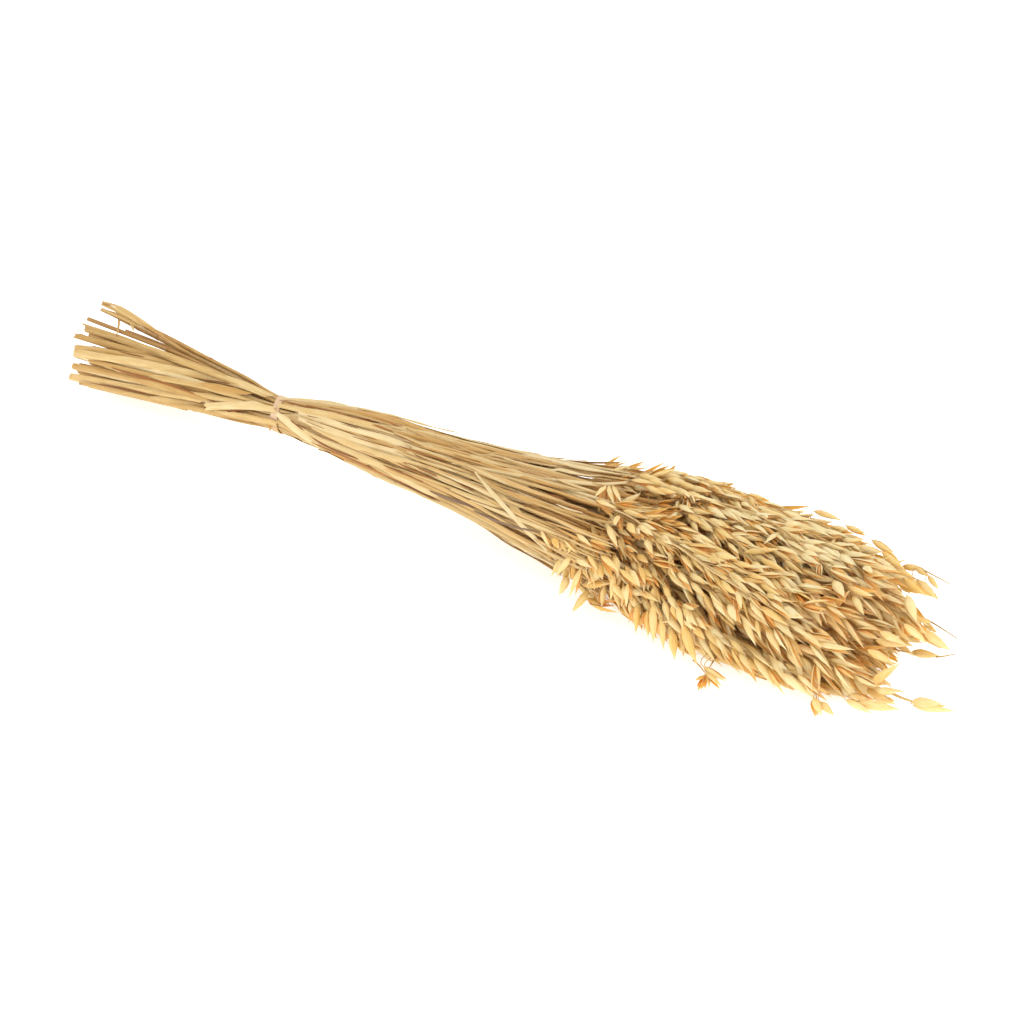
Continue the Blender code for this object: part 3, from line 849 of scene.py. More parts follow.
hang = hang.clip(-0.2, 1.3) * outer * np.where(side_ < 0, 0.10 + 0.90 * smooth(48, 12, round_), 1.0)
along_[:, 1] *= side_
nrm[:, 1] *= side_
# painted light: spikelets along the top edge of each side are made paler, as if lit from above
painted_top_light = np.where(side_ < 0, smooth(38, 56, round_), smooth(78, 96, round_)) * outer
dirn = dirn + along_ * hang[:, None] + 0.10 * nrm * np.abs(hang)[:, None]
wild = rng.random(S) < 0.08 + 0.14 * fan * outer
dirn = dirn + rng.normal(0, 1, (S, 3)) * np.where(wild, 0.40, 0.115)[:, None]
dirn = unit(dirn)
end = base + dirn * LEN[:, None]
b0, e0 = base.copy(), end.copy()

FR = np.array([0.12, 0.38, 0.64, 0.88])
RR = np.array([0.62, 0.92, 0.90, 0.55])
rad_s = RR[None] * HALF[:, None] * 0.92
FLOOR = ORIGIN[2]
for it in range(36):
    if it % 6 == 0:
        mid = 0.5 * (base + end)
        order = np.argsort(mid[:, 0])
        xm = mid[order, 0]
        lo_i, hi_i = [], []
        stop = np.searchsorted(xm, xm + 0.021)
        for a_ in range(S):
            b_ = np.arange(a_ + 1, stop[a_])
            if len(b_):
                dd = mid[order[b_]] - mid[order[a_]]
                ok = (dd ** 2).sum(1) < 0.021 ** 2
                lo_i.append(np.full(ok.sum(), order[a_]))
                hi_i.append(order[b_[ok]])
        PA, PB = np.concatenate(lo_i), np.concatenate(hi_i)
    pts = base[:, None] * (1 - FR)[None, :, None] + end[:, None] * FR[None, :, None]
    mb, me_ = np.zeros_like(base), np.zeros_like(end)
    cb = np.full(S, 1e-9)
    for fa in range(4):
        for fb in range(4):
            d = pts[PA, fa] - pts[PB, fb]
            q = np.sqrt((d ** 2).sum(1)) + 1e-9
            need = rad_s[PA, fa] + rad_s[PB, fb]
            k = np.nonzero(q < need)[0]
            if not len(k):
                continue
            mv = (0.5 * (need[k] - q[k]) / q[k])[:, None] * d[k]
            for idx, sg, fr in ((PA[k], 1, FR[fa]), (PB[k], -1, FR[fb])):
                np.add.at(mb, idx, sg * mv * (1 - fr) * 1.3)
                np.add.at(me_, idx, sg * mv * fr * 1.3)
                np.add.at(cb, idx, 1.0)
    n_ = np.maximum(1.0, cb)[:, None] ** 0.6
    base += mb / n_
    end += me_ / n_
    base += 0.10 * (b0 - base)
    end += 0.045 * (e0 - end)
    # inside the bundle's outline, and above the surface it lies on
    for arr, room in ((base, 0.0005), (end, 0.0045)):
        p_, q_, a_, b_ = section(arr)
        out_ = np.hypot(p_, q_)
        lim = 1 + room / (0.5 * (a_ + b_))
        over = out_ > lim
        sc = np.where(over, 1 - 0.5 * (1 - lim / np.maximum(out_, 1e-6)), 1.0)
        dy, dz = p_ * a_, q_ * b_
        arr[:, 1] += dy * (sc - 1)
        arr[:, 2] += dz * (sc - 1)
        arr[:, 2] = np.maximum(arr[:, 2], FLOOR + 0.0022)
    v = end - base
    ln = np.sqrt((v ** 2).sum(1))[:, None]
    fix = v / ln * (LEN[:, None] - ln)
    end += 0.7 * fix
    base -= 0.3 * fix
dirn = unit(end - base)

# the stems show bare up to where the heads begin, which differs round the bundle
BARE = np.array([(-360 + 220, 0.452), (-90, 0.438), (-30, 0.412), (0, 0.402), (60, 0.404), (75, 0.410), (92, 0.426),
                 (108, 0.443), (129, 0.463), (143, 0.452), (164, 0.441), (197, 0.442), (220, 0.452), (270, 0.438),
                 (330, 0.412), (360, 0.402)])
mid = base + dirn * LEN[:, None] * 0.5
p_, q_, _, _ = section(mid)
ang_ = np.degrees(np.arctan2(q_, p_)) % 360
bare = np.interp(ang_, BARE[:, 0], BARE[:, 1])
deep_ = np.hypot(p_, q_)
SHOW = np.minimum(base[:, 0], end[:, 0]) > bare - 0.004 - 0.012 * (deep_ < 0.6)
DEEP = (deep_ < 0.67) & (mid[:, 0] < 0.63) & (mid[:, 0] > 0.465)
PAINTED_DEPTH_SHADE = 0.85 * smooth(0.88, 0.45, deep_) * (1 - 0.75 * smooth(0.59, 0.66, mid[:, 0]))   # painted shade: the further in a spikelet lies, the more of the warm inside colour it takes, less so towards the right end

# ================================================================ spikelets: their shape
GU = np.array([0.0, 0.10, 0.30, 0.57, 0.81, 1.0])
GW = np.array([0.17, 0.62, 0.99, 0.80, 0.36, 0.020])
GV = np.linspace(-1, 1, 5)
TOPO_GLUME = topo_shell(GU, GV)
FU = np.array([0.0, 0.16, 0.42, 0.72, 1.0])
FW = np.array([0.22, 0.80, 1.0, 0.66, 0.06])
TOPO_FLORET = topo_tube(FU, 6)
TOPO_PED = topo_tube(np.linspace(0, 1, 3), 4)
LU = np.array([0.0, 0.14, 0.38, 0.66, 1.0])
LW = np.array([0.20, 0.78, 1.0, 0.66, 0.05])
TOPO_LENS = topo_tube(LU, 6)
TOPO_BRANCH = topo_tube(np.linspace(0, 1, 7), 4)
TOPO_TWIG = topo_tube(np.linspace(0, 1, 5), 4)
TOPO_AWN = topo_tube(np.linspace(0, 1, 6), 4)

face = np.where(rng.random(S) < 0.48, rng.normal(0, 0.5, S), np.pi / 2 + rng.normal(0, 0.5, S))
face = face + np.pi * (rng.random(S) < 0.5)
# tone per spikelet: random, a little darker the further in (painted shade), paler towards the right end (partly painted
# light, lifting the shade among the converging tips) and along the top edge (painted light from above)
TONE = (rng.normal(0.56, 0.22, S) - 0.14 * PAINTED_DEPTH_SHADE + 0.34 * smooth(0.56, 0.66, mid[:, 0]) + 0.34 * painted_top_light).clip(0.0, 1.0)
OPEN = np.abs(rng.normal(0.14, 0.10, (S, 2))).clip(0.02, 0.44)
closed = rng.random(S) < 0.25
OPEN[closed] *= 0.35
BEND = rng.normal(-0.05, 0.045, (S, 2)) + 0.10 * (OPEN - 0.1)
SKEW = rng.normal(0, 0.05, S)

radial_now = base + dirn * LEN[:, None] * 0.5 - centre(sp["head"], base[:, 0] + 0.01)[0]
radial_now = unit(radial_now - dirn * (radial_now * dirn).sum(1, keepdims=True))
other = np.cross(dirn, radial_now)
AX_N = radial_now * np.cos(face)[:, None] + other * np.sin(face)[:, None]
AX_S = np.cross(AX_N, dirn)


# what shows at a place in the frame, for the pieces that are placed one by one
XF = np.linspace(-0.01, 0.70, 300)
SP_P, _ = centre(np.repeat(np.arange(N_STALKS)[:, None], len(XF), 1), np.repeat(XF[None], N_STALKS, 0))
SP_PX = pixel_of(SP_P)
SP_OK = (XF[None] > cut[:, None]) & (XF[None] < tip[:, None])


def surface_at(px, py, free=False):
    """Distance from the lens to the stems or heads that show at a pixel."""
    d = np.hypot(SP_PX[..., 0] - px, SP_PX[..., 1] - py) + 1e3 * ~SP_OK
    if free:
        j = np.unravel_index(np.argmin(d), d.shape)
        return SP_PX[j][2] - 0.004
    near = d < 5.0
    best = (SP_PX[..., 2][near]).min() - 0.0018 if near.any() else 9.9
    ts = np.linspace(FAR - 0.36, FAR + 0.30, 1101)
    t0, t1, n0, n1_ = [np.interp(px, SQUEEZE[:, 0], SQUEEZE[:, c]) for c in (1, 2, 3, 4)]
    wide = 0.5 * (t0 + t1) + (py - 0.5 * (n0 + n1_)) * (t1 - t0) / (n1_ - n0)
    P = EYE + ts[:, None] * (CAM_F + CAM_R * (px - 512) / FOCAL - CAM_U * (wide - 512) / FOCAL)
    p_, q_, a_, b_ = section(P)
    f = np.where(q_ < 0, np.abs(p_) ** 2.4 + np.abs(q_) ** 2.4, p_ ** 2 + q_ ** 2)
    ok = (P[:, 0] > 0.172) & (P[:, 0] < 0.72)
    hit = np.nonzero((f <= 1.0) & ok)[0]
    if len(hit):
        best = min(best, ts[hit[0]] + squeeze(P[hit[0]]) * CAM_F[2])
    elif best > 9:
        j = np.unravel_index(np.argmin(d), d.shape)
        best = SP_PX[j][2]
        if SP_P[j][0] > 0.19:
            best = ts[np.argmin(np.where(ok, f, 9e9))]
    return best


def place(px, py, depth):
    P = at_pixel(px, py, depth)
    return P if P[2] > FLOOR + 0.0024 else on_floor(px, py, FLOOR + 0.0024)


# spikelets that show one by one: base, tip, width in pixels, tone, how open, 1 where clear of the rest
ONES = [
    (541, 530, 554, 549, 7, 0.9, 0.1, 0), (553, 538, 561, 553, 7, 0.1, 0.3, 0), (564, 540, 580, 553, 4.5, 0.8, 0.1, 0),
    (577, 534, 592, 548, 5.5, 0.9, 0.1, 0), (590, 540, 613, 552, 6, 0.0, 0.1, 0), (608, 526, 617, 550, 7, 0.9, 0.1, 0),
    (570, 557, 561, 573, 7, 0.9, 0.2, 0), (561, 560, 552, 575, 6, 0.7, 0.1, 0), (581, 569, 571, 598, 8, 1.0, 0.1, 0),
    (568, 576, 560, 596, 8, 0.9, 0.2, 0), (588, 591, 571, 614, 8, 1.0, 0.15, 0), (583, 585, 616, 581, 8, 0.0, 0.15, 0),
    (592, 605, 623, 605, 8, 0.0, 0.2, 0), (587, 598, 602, 609, 6, 0.1, 0.1, 0), (588, 555, 597, 575, 6, 0.5, 0.2, 0),
    (602, 556, 619, 577, 8, 0.9, 0.2, 0), (620, 569, 641, 591, 6, 0.3, 0.1, 0), (613, 584, 623, 602, 8, 0.9, 0.2, 0),
    (628, 584, 634, 607, 8, 0.7, 0.3, 0), (637, 606, 631, 630, 8, 0.2, 0.3, 0), (648, 611, 643, 633, 8, 0.3, 0.3, 0),
    (653, 605, 657, 641, 9, 0.6, 0.15, 0), (661, 618, 668, 647, 9, 0.4, 0.15, 0), (672, 630, 675, 660, 9, 0.3, 0.2, 0),
    (683, 624, 692, 664, 10, 0.5, 0.15, 0), (704, 667, 729, 682, 6, 0.9, 0.1, 0), (706, 672, 722, 690, 6, 0.8, 0.1, 0),
    (704, 676, 695, 689.5, 6, 0.1, 0.3, 0, 0.005), (707, 675, 704, 692, 6.5, 0.8, 0.2, 0, 0.005),
    (606, 486, 594, 509, 6, 0.9, 0.3, 0), (609, 486, 609, 511, 7, 0.9, 0.2, 0), (613, 486, 619, 511, 6, 0.9, 0.2, 0),
    (596, 500, 620, 517, 6, 0.8, 0.2, 0), (612, 471, 632, 465, 4, 1.0, 0.0, 0), (652, 476, 677, 470, 4.5, 0.9, 0.1, 0),
    (903, 566, 925, 570, 7, 0.6, 0.1, 1), (917, 581, 942, 599, 9, 0.9, 0.15, 1), (904, 578, 932, 601, 6, 0.4, 0.2, 1),
    (893, 593, 914, 607, 7, 0.8, 0.1, 1), (912, 617, 933, 621, 6, 0.7, 0.1, 1), (923, 631, 947, 650, 10, 0.9, 0.15, 1),
    (912, 628, 935, 646, 7, 0.1, 0.3, 1), (912, 652, 943, 657, 9, 0.9, 0.1, 1), (870, 685, 896, 666, 9, 0.5, 0.3, 1),
    (880, 688, 907, 693, 4, 0.8, 0.0, 1), (858, 703, 897, 709, 10, 0.9, 0.15, 1), (912, 702, 941, 704, 11, 0.9, 0.1, 1),
    (914, 706, 954, 710, 8, 0.9, 0.1, 1), (814, 698, 818, 719, 10, 0.8, 0.2, 1), (820, 702, 835, 717, 8, 0.8, 0.1, 1),
    (814, 511, 841, 519, 6, 0.9, 0.1, 1), (846, 526, 868, 536, 6, 0.8, 0.1, 1), (872, 540, 898, 556, 7, 0.8, 0.1, 1),
    (882, 552, 906, 567, 7, 0.7, 0.2, 1), (876, 640, 905, 646, 9, 0.9, 0.2, 1), (884, 650, 898, 659, 7, 0.8, 0.2, 1),
    (884, 560, 908, 574, 8, 0.8, 0.1, 1), (892, 568, 916, 582, 8, 0.6, 0.15, 1), (900, 574, 924, 590, 8, 0.8, 0.1, 1),
    (886, 576, 911, 591, 8, 0.7, 0.2, 1), (898, 583, 922, 597, 7, 0.4, 0.1, 1), (880, 588, 904, 600, 8, 0.8, 0.1, 1),
    (886, 600, 910, 614, 8, 0.7, 0.2, 1), (890, 610, 914, 624, 8, 0.9, 0.1, 1), (898, 618, 921, 634, 8, 0.6, 0.15, 1),
    (904, 624, 927, 640, 8, 0.8, 0.1, 1), (892, 626, 917, 640, 8, 0.8, 0.2, 1), (890, 636, 915, 648, 8, 0.7, 0.1, 1),
    (880, 632, 904, 643, 8, 0.9, 0.1, 1), (866, 690, 892, 699, 9, 0.7, 0.2, 1), (872, 696, 898, 703, 8, 0.9, 0.1, 1),
    (852, 694, 878, 704, 9, 0.8, 0.1, 1), (846, 700, 874, 712, 8, 0.9, 0.1, 1), (868, 650, 893, 662, 8, 0.8, 0.15, 1),
    (868, 676, 893, 686, 8, 0.9, 0.1, 1), (876, 690, 897, 694, 7, 0.8, 0.1, 1), (928, 576, 941, 591, 6, 0.9, 0.1, 1),
    (916, 568, 930, 577, 6, 0.7, 0.1, 1), (923, 622, 938, 634, 6, 0.8, 0.1, 1), (932, 640, 946, 650, 7, 0.7, 0.1, 1),
]
# and a tangle of them where the heads begin on the near side, hanging over one another
rc = np.random.default_rng(88)
TANGLE = np.array([(548, 540), (566, 556), (585, 566), (610, 580), (640, 600), (664, 622), (688, 640)], float)
for k_ in range(118):
    u_ = rc.random() ** 0.8 * 6
    j_ = min(5, int(u_))
    bx, by = TANGLE[j_] + (TANGLE[j_ + 1] - TANGLE[j_]) * (u_ - j_)
    off_ = rc.uniform(-30, 9) * (0.35 + 0.65 * min(1.0, u_ / 1.5))
    bx, by = bx - 0.45 * off_, by + 0.89 * off_
    turn_ = math.radians(rc.normal(112 - 11 * u_, 24))
    len_ = rc.uniform(17, 25)
    tx, ty = bx + len_ * math.cos(turn_), by + len_ * math.sin(turn_)
    low_ = np.interp(tx, (548, 556, 572, 600, 624, 640, 652, 668, 690), (560, 577, 608, 609, 611, 630, 637, 652, 662)) - 1.0
    if ty > low_:
        by, ty = by - (ty - low_), low_
    ONES.append((bx, by, tx, ty, rc.uniform(6.0, 8.5), rc.uniform(0.1, 1.0), abs(rc.normal(0.12, 0.1)), 0, rc.uniform(0.001, 0.014)))

# some behind the outer ones where the far flank is thin
n_own = len(ONES)
for bx, by, tx, ty, tone_ in [
        (640, 476, 663, 482, 0.8), (648, 481, 671, 487, 0.6), (656, 484, 680, 490, 0.9), (664, 487, 688, 494, 0.7), (672, 489, 696, 497, 0.9),
        (680, 484, 704, 491, 0.6), (668, 479, 692, 485, 0.8), (654, 489, 677, 496, 0.5), (646, 487, 668, 494, 0.8), (686, 493, 709, 501, 0.7),
        (660, 474, 684, 479, 0.9), (632, 480, 655, 486, 0.7), (690, 487, 713, 495, 0.9), (676, 476, 700, 482, 0.7)]:
    ONES.append((bx, by, tx, ty, 7.5, tone_, 0.08, 0, 0.003))

# long bristles, some beyond the tips: points along each
BRISTLES = [((920, 568), (935, 576), (951, 584.5), 1.1), ((928, 620), (943, 629), (957, 638.5), 1.1), ((936, 657), (946, 656), (955, 654), 1.0),
            ((848, 529), (846, 523), (845, 518), 0.5), ((884, 689), (900, 697.5), (916, 702.5), 2.1), ((898, 572), (912, 577), (926, 583), 0.9),
            ((893, 618), (908, 625), (925, 632), 0.9), ((888, 648), (902, 651), (916, 655), 0.9), ((815, 690), (816, 695), (817, 701), 1.0),
            ((693, 660), (700, 666), (705, 673), 1.2)]

n1 = len(ONES)
rz = np.random.default_rng(99)
xb, xe, xn = np.zeros((n1, 3)), np.zeros((n1, 3)), np.zeros((n1, 3))
BACK = np.array([o[8] if len(o) > 8 else 0.0 for o in ONES])
for j_, (bx, by, tx, ty, w_, tone_, open_, free_) in enumerate([o[:8] for o in ONES]):
    d0, d1 = surface_at(bx, by, free_) + BACK[j_], surface_at(tx, ty, free_) + BACK[j_]
    if free_ and bx < 912:
        d0, d1 = d0 + 0.003 * (j_ % 3) - 0.002, d1 + 0.003 * (j_ % 3) - 0.002
    if abs(d1 - d0) > 0.010:
        d1 = d0 + math.copysign(0.010, d1 - d0)
    xb[j_] = place(bx, by, d0 - (0.0 if free_ else 0.0035))
    xe[j_] = place(tx, ty, d1 - (0.0 if free_ else 0.0055))
    xn[j_] = -CAM_F + 0.35 * (rng if j_ < n_own else rz).normal(0, 1, 3)
xd = unit(xe - xb)
xl = np.linalg.norm(xe - xb, axis=1)
xn = unit(xn - xd * (xn * xd).sum(1, keepdims=True))
# leave room round them, and keep the rest inside the bundle's own edge
mid_px = pixel_of(0.5 * (base + end))
one_px = pixel_of(0.5 * (xb + xe))
tip_px = pixel_of(base + dirn * LEN[:, None])
cover = (np.hypot(mid_px[:, None, 0] - one_px[None, :, 0], mid_px[:, None, 1] - one_px[None, :, 1]) < 6.0) & (
    mid_px[:, None, 2] < one_px[None, :, 2] + 0.003)
SHOW = SHOW & ~cover[:, BACK == 0].any(1)
EDGE_R = np.array([(500, 800), (512, 822), (520, 842), (530, 860), (540, 876), (550, 894), (560, 904), (575, 921), (590, 927),
                   (600, 920), (607, 913), (614, 914), (625, 926), (640, 936), (650, 938), (656, 916), (660, 899), (668, 892),
                   (680, 890), (690, 893), (700, 895), (708, 891), (714, 878), (720, 836)], float)
SHOW = SHOW & ~((tip_px[:, 0] > 790) & (tip_px[:, 0] > np.interp(tip_px[:, 1], EDGE_R[:, 0], EDGE_R[:, 1]) + 3))
EDGE_B = np.array([(540, 566), (556, 580), (572, 612), (600, 608), (624, 606), (640, 632), (652, 636), (668, 652), (690, 664),
                   (706, 672), (740, 672), (760, 680), (780, 690), (800, 697), (830, 704), (850, 706), (870, 713), (890, 712)], float)
SHOW = SHOW & ~((tip_px[:, 0] < 900) & (tip_px[:, 1] > np.interp(tip_px[:, 0], EDGE_B[:, 0], EDGE_B[:, 1]) + 3.5))
owner = []
for j_ in range(n1):
    back = xb[j_] - xd[j_] * 0.002
    dd = np.linalg.norm(SP_P - back, axis=2) + 9.0 * ~SP_OK + 9.0 * (XF[None] > back[0] + 0.002)
    owner.append(np.unravel_index(np.argmin(dd), dd.shape))
base = np.concatenate([base, xb])
dirn = np.concatenate([dirn, xd])
LEN = np.concatenate([LEN, xl])
HALF = np.concatenate([HALF, np.array([o[4] for o in ONES]) * 0.5 * FAR / FOCAL * 0.98])
AX_N = np.concatenate([AX_N, xn])
AX_S = np.concatenate([AX_S, np.cross(xn, xd)])
TONE = np.concatenate([TONE, [0.08 + 0.66 * o[5] for o in ONES]])
OPEN = np.concatenate([OPEN, np.array([[o[6], o[6] * 0.8] for o in ONES]) * 1.5])
BEND = np.concatenate([BEND, rng.normal(-0.02, 0.03, (n1, 2))])
SKEW = np.concatenate([SKEW, rng.normal(0, 0.04, n1)])
SHOW = np.concatenate([SHOW, np.ones(n1, bool)])
DEEP = np.concatenate([DEEP, np.zeros(n1, bool)])
PAINTED_DEPTH_SHADE = np.concatenate([PAINTED_DEPTH_SHADE, np.zeros(n1)])
sp["head"] = np.concatenate([sp["head"], [o[0] for o in owner]])


def glume_verts(k, which):
    """Outer and inner side of one glume of each spikelet in k, in world axes; which is 0 or 1."""
    n = len(k)
    L = LEN[k] * (1.0 if which == 0 else 0.90)
    W = HALF[k] * (1.0 if which == 0 else 0.93)
    al = math.radians(74)
    x = L[:, None, None] * GU[None, :, None] * np.ones((1, 1, 5))
    w = W[:, None] * GW[None]
    t = np.minimum(0.00026, 0.42 * w)
    dep = 0.60 * w
    out = []
    for ww, dd in ((w, dep), (w - t, dep - 0.8 * t)):
        y = ww[..., None] * np.sin(GV * al) / math.sin(al)
        z = dd[..., None] * (np.cos(GV * al) - math.cos(al)) / (1 - math.cos(al))
        # the margins spread a little above the middle, and the tip curls
        z = z + 0.00010
        z = z + BEND[k, which][:, None, None] * x ** 2 / L[:, None, None]
        y = y + SKEW[k][:, None, None] * x ** 2 / L[:, None, None] * (1 if which == 0 else -1)
        be = OPEN[k, which][:, None, None]
        xr = x * np.cos(be) - z * np.sin(be)
        zr = z * np.cos(be) + x * np.sin(be)
        if which == 1:
            y, zr = -y, -zr
        P = (base[k][:, None, None] + xr[..., None] * dirn[k][:, None, None]
             + y[..., None] * AX_S[k][:, None, None] + zr[..., None] * AX_N[k][:, None, None])
        out.append(P)
    return np.stack(out, 1)


def tone_grid(tone, along, inner, n_in):
    """(S, n, 4) colours: tone per part, how far along, and whether inside, or how much painted shade from lying deep in
    the bundle.
    """
    S_ = len(tone)
    n = len(along)
    res = np.ones((S_, n, 4))
    res[:, :, 0] = tone[:, None]
    res[:, :, 1] = along[None]
    res[:, :, 2] = np.asarray(inner, float).reshape(-1, 1) if np.ndim(inner) else inner
    if n_in:
        res[:, n - n_in:, 2] = 1.0
    return res


def add_spikelets(piece, k, rs):
    dk = k[DEEP[k]]
    if len(dk):
        # well inside the bundle, where only glimpses show: the closed spikelet as one lens, tinted with painted depth
        # shade
        xf = LU[None] * LEN[dk][:, None]
        C = base[dk][:, None] + dirn[dk][:, None] * xf[..., None]
        Tt = np.broadcast_to(dirn[dk][:, None], C.shape)
        r = LW[None] * (HALF[dk] * 1.05)[:, None]
        V = tube_verts(C, Tt, r, 6, flat=0.72, up=np.broadcast_to(AX_N[dk][:, None], C.shape)).reshape(len(dk), -1, 3)
        piece.put(TOPO_LENS, V, np.stack([LEN[dk] * 0.55, HALF[dk] * 2.0], -1), np.stack([LEN[dk] / 0.010, np.full(len(dk), 3.0)], -1),
                  rs.uniform(0, 60, (len(dk), 2)), M_GLUME, tone_grid(TONE[dk], np.repeat(LU, 6), 0.75 * PAINTED_DEPTH_SHADE[dk], 0))
    k = k[~DEEP[k]]
    n = len(k)
    if not n:
        return
    for which in (0, 1):
        V = glume_verts(k, which).reshape(n, -1, 3)
        along = np.tile(np.repeat(GU, 5), 2)
        # the outer sides take painted depth shade by how far in they lie; the inner sides take the inside colour
        T = tone_grid(TONE[k] + rs.normal(0, 0.05, n), along, 0.6 * PAINTED_DEPTH_SHADE[k], len(GU) * 5)
        size = np.stack([np.stack([LEN[k], HALF[k] * 2.6], -1), np.stack([LEN[k] * 0.7, HALF[k] * 1.7], -1)], 1)
        piece.put(TOPO_GLUME, V, size, np.stack([LEN[k] / 0.010, np.full(n, 1.0)], -1),
                  rs.uniform(0, 60, (n, 2)), M_GLUME, T)
    # the floret between the glumes, where they stand open
    k = k[OPEN[k].max(1) > 0.085]
    n = len(k)
    Lf = LEN[k] * rs.uniform(0.66, 0.78, n)
    xf = 0.0012 + FU[None] * Lf[:, None]
    C = base[k][:, None] + dirn[k][:, None] * xf[..., None] + AX_N[k][:, None] * (rs.normal(0, 0.012, n)[:, None] * xf)[..., None]
    Tt = np.broadcast_to(dirn[k][:, None], C.shape)
    r = FW[None] * (HALF[k] * rs.uniform(0.42, 0.52, n))[:, None]
    V = tube_verts(C, Tt, r, 6, up=np.broadcast_to(AX_N[k][:, None], C.shape)).reshape(n, -1, 3)
    along = np.repeat(FU, 6)
    piece.put(TOPO_FLORET, V, np.stack([Lf * 0.8, HALF[k] * 2.2], -1), np.stack([Lf / 0.010, np.full(n, 3.0)], -1),
              rs.uniform(0, 60, (n, 2)), M_FLORET, tone_grid(TONE[k], along, 0, 0))
    # awns, on some
    aw = k[rs.random(n) < 0.05]
    m = len(aw)
    if m:
        u = np.linspace(0, 1, 6)
        La = rs.uniform(0.008, 0.017, m)
        s0 = LEN[aw] * 0.62
        bend = rs.normal(0.16, 0.10, m)
        C = (base[aw][:, None] + dirn[aw][:, None] * (s0[:, None] + u[None] * La[:, None])[..., None]
             + AX_N[aw][:, None] * ((u[None] ** 2) * (bend * La)[:, None])[..., None]
             + AX_S[aw][:, None] * ((u[None] ** 2) * (rs.normal(0, 0.12, m) * La)[:, None])[..., None])
        Tt = unit(np.gradient(C, axis=1))
        r = np.broadcast_to(0.00022 * (1 - 0.72 * u)[None], (m, 6))
        V = tube_verts(C, Tt, r, 4, up=np.broadcast_to(AX_N[aw][:, None], C.shape)).reshape(m, -1, 3)
        piece.put(TOPO_AWN, V, np.stack([La, np.full(m, 0.0010)], -1), np.stack([La / 0.01, np.full(m, 1.0)], -1),
                  rs.uniform(0, 60, (m, 2)), M_CULM, tone_grid(TONE[aw], np.repeat(u, 4), 0, 0))


def add_branches(piece, i, rs):
    """Thin branches from the rachis to their spikelets, each with its own short stalk."""
    for (h, s0, phi, a, b) in branches:
        if h != i or a == b or not SHOW[a:b].any():
            continue
        c0, _ = centre(i, np.array([s0]))
        pts = [c0[0]]
        for k in range(a, a + 1 + int(np.nonzero(SHOW[a:b])[0].max())):
            cc, _ = centre(i, np.array([base[k, 0] - 0.004]))
            pts.append(cc[0] + 0.45 * (base[k] - dirn[k] * 0.003 - cc[0]))
        pts = np.array(pts)
        pts = pts[np.argsort(pts[:, 0])]
        d = np.concatenate([[0], np.cumsum(np.linalg.norm(np.diff(pts, axis=0), axis=1))])
        u = np.linspace(0, 1, 5)
        C = np.stack([np.interp(u * d[-1], d, pts[:, c]) for c in range(3)], -1)
        C[1:-1] = 0.25 * C[:-2] + 0.5 * C[1:-1] + 0.25 * C[2:]
        T = unit(np.gradient(C, axis=0))
        r = 0.00036 - 0.00014 * u
        piece.put(TOPO_TWIG, tube_verts(C, T, r, 4)[None].reshape(1, -1, 3), np.array([d[-1], 0.0016]),
                  (d[-1] / 0.01, 1.0), rs.uniform(0, 60, 2), M_CULM, tone_grid(np.array([rs.uniform(0.3, 0.8)]), np.repeat(u, 4), 0, 0))
        # stalks of the spikelets
        for k in range(a, b):
            if not SHOW[k]:
                continue
            j = int(np.argmin(np.abs(C[:, 0] - (base[k, 0] - 0.005))))
            A, B = C[j], base[k]
            uu = np.linspace(0, 1, 3)[:, None]
            ctrl = B - dirn[k] * 0.35 * np.linalg.norm(B - A)
            Q = (1 - uu) ** 2 * A + 2 * uu * (1 - uu) * ctrl + uu ** 2 * (B + dirn[k] * 0.0006)
            TT = unit(np.gradient(Q, axis=0))
            rr = np.array([0.00022, 0.00021, 0.00042])
            piece.put(TOPO_PED, tube_verts(Q, TT, rr, 4)[None].reshape(1, -1, 3),
                      np.array([max(0.003, float(np.linalg.norm(B - A))), 0.0014]), (0.5, 1.0), rs.uniform(0, 60, 2),
                      M_CULM, tone_grid(np.array([rs.uniform(0.3, 0.8)]), np.repeat(uu[:, 0], 4), 0, 0))


def add_ones(piece, i, rs):
    """Thin stalks of the spikelets that show one by one."""
    for j in range(n1):
        if owner[j][0] != i:
            continue
        A = SP_P[owner[j]]
        B = base[S + j] + dirn[S + j] * 0.0006
        u = np.linspace(0, 1, 7)[:, None]
        mid_ = B - dirn[S + j] * min(0.010, 0.5 * np.linalg.norm(B - A))
        Q = (1 - u) ** 2 * A + 2 * u * (1 - u) * mid_ + u ** 2 * B
        r = np.array([0.0003, 0.0003, 0.00028, 0.00026, 0.00025, 0.0003, 0.0005])
        d = float(np.linalg.norm(B - A))
        piece.put(TOPO_BRANCH, tube_verts(Q, unit(np.gradient(Q, axis=0)), r, 4)[None].reshape(1, -1, 3), np.array([max(d, 0.004), 0.0016]),
                  (max(d, 0.004) / 0.01, 1.0), rs.uniform(0, 60, 2), M_CULM, tone_grid(np.array([0.5]), np.repeat(u[:, 0], 4), 0, 0))


def add_bristle(piece, rs, pts):
    thick_ = pts[3] * FAR / FOCAL
    P = np.array([place(x_, y_, surface_at(x_, y_, True)) for x_, y_ in pts[:3]])
    u = np.linspace(0, 1, 7)
    C = np.stack([np.interp(u * 2, [0, 1, 2], P[:, c]) for c in range(3)], -1)
    C[1:-1] = 0.25 * C[:-2] + 0.5 * C[1:-1] + 0.25 * C[2:]
    d = float(np.linalg.norm(P[-1] - P[0]))
    piece.put(TOPO_BRANCH, tube_verts(C, unit(np.gradient(C, axis=0)), thick_ * (1 - 0.45 * u), 4)[None].reshape(1, -1, 3),
              np.array([d, 0.0016]), (d / 0.01, 1.0), rs.uniform(0, 60, 2), M_SHEATH, tone_grid(np.array([0.2]), np.repeat(0.3 * u, 4), 0, 0))


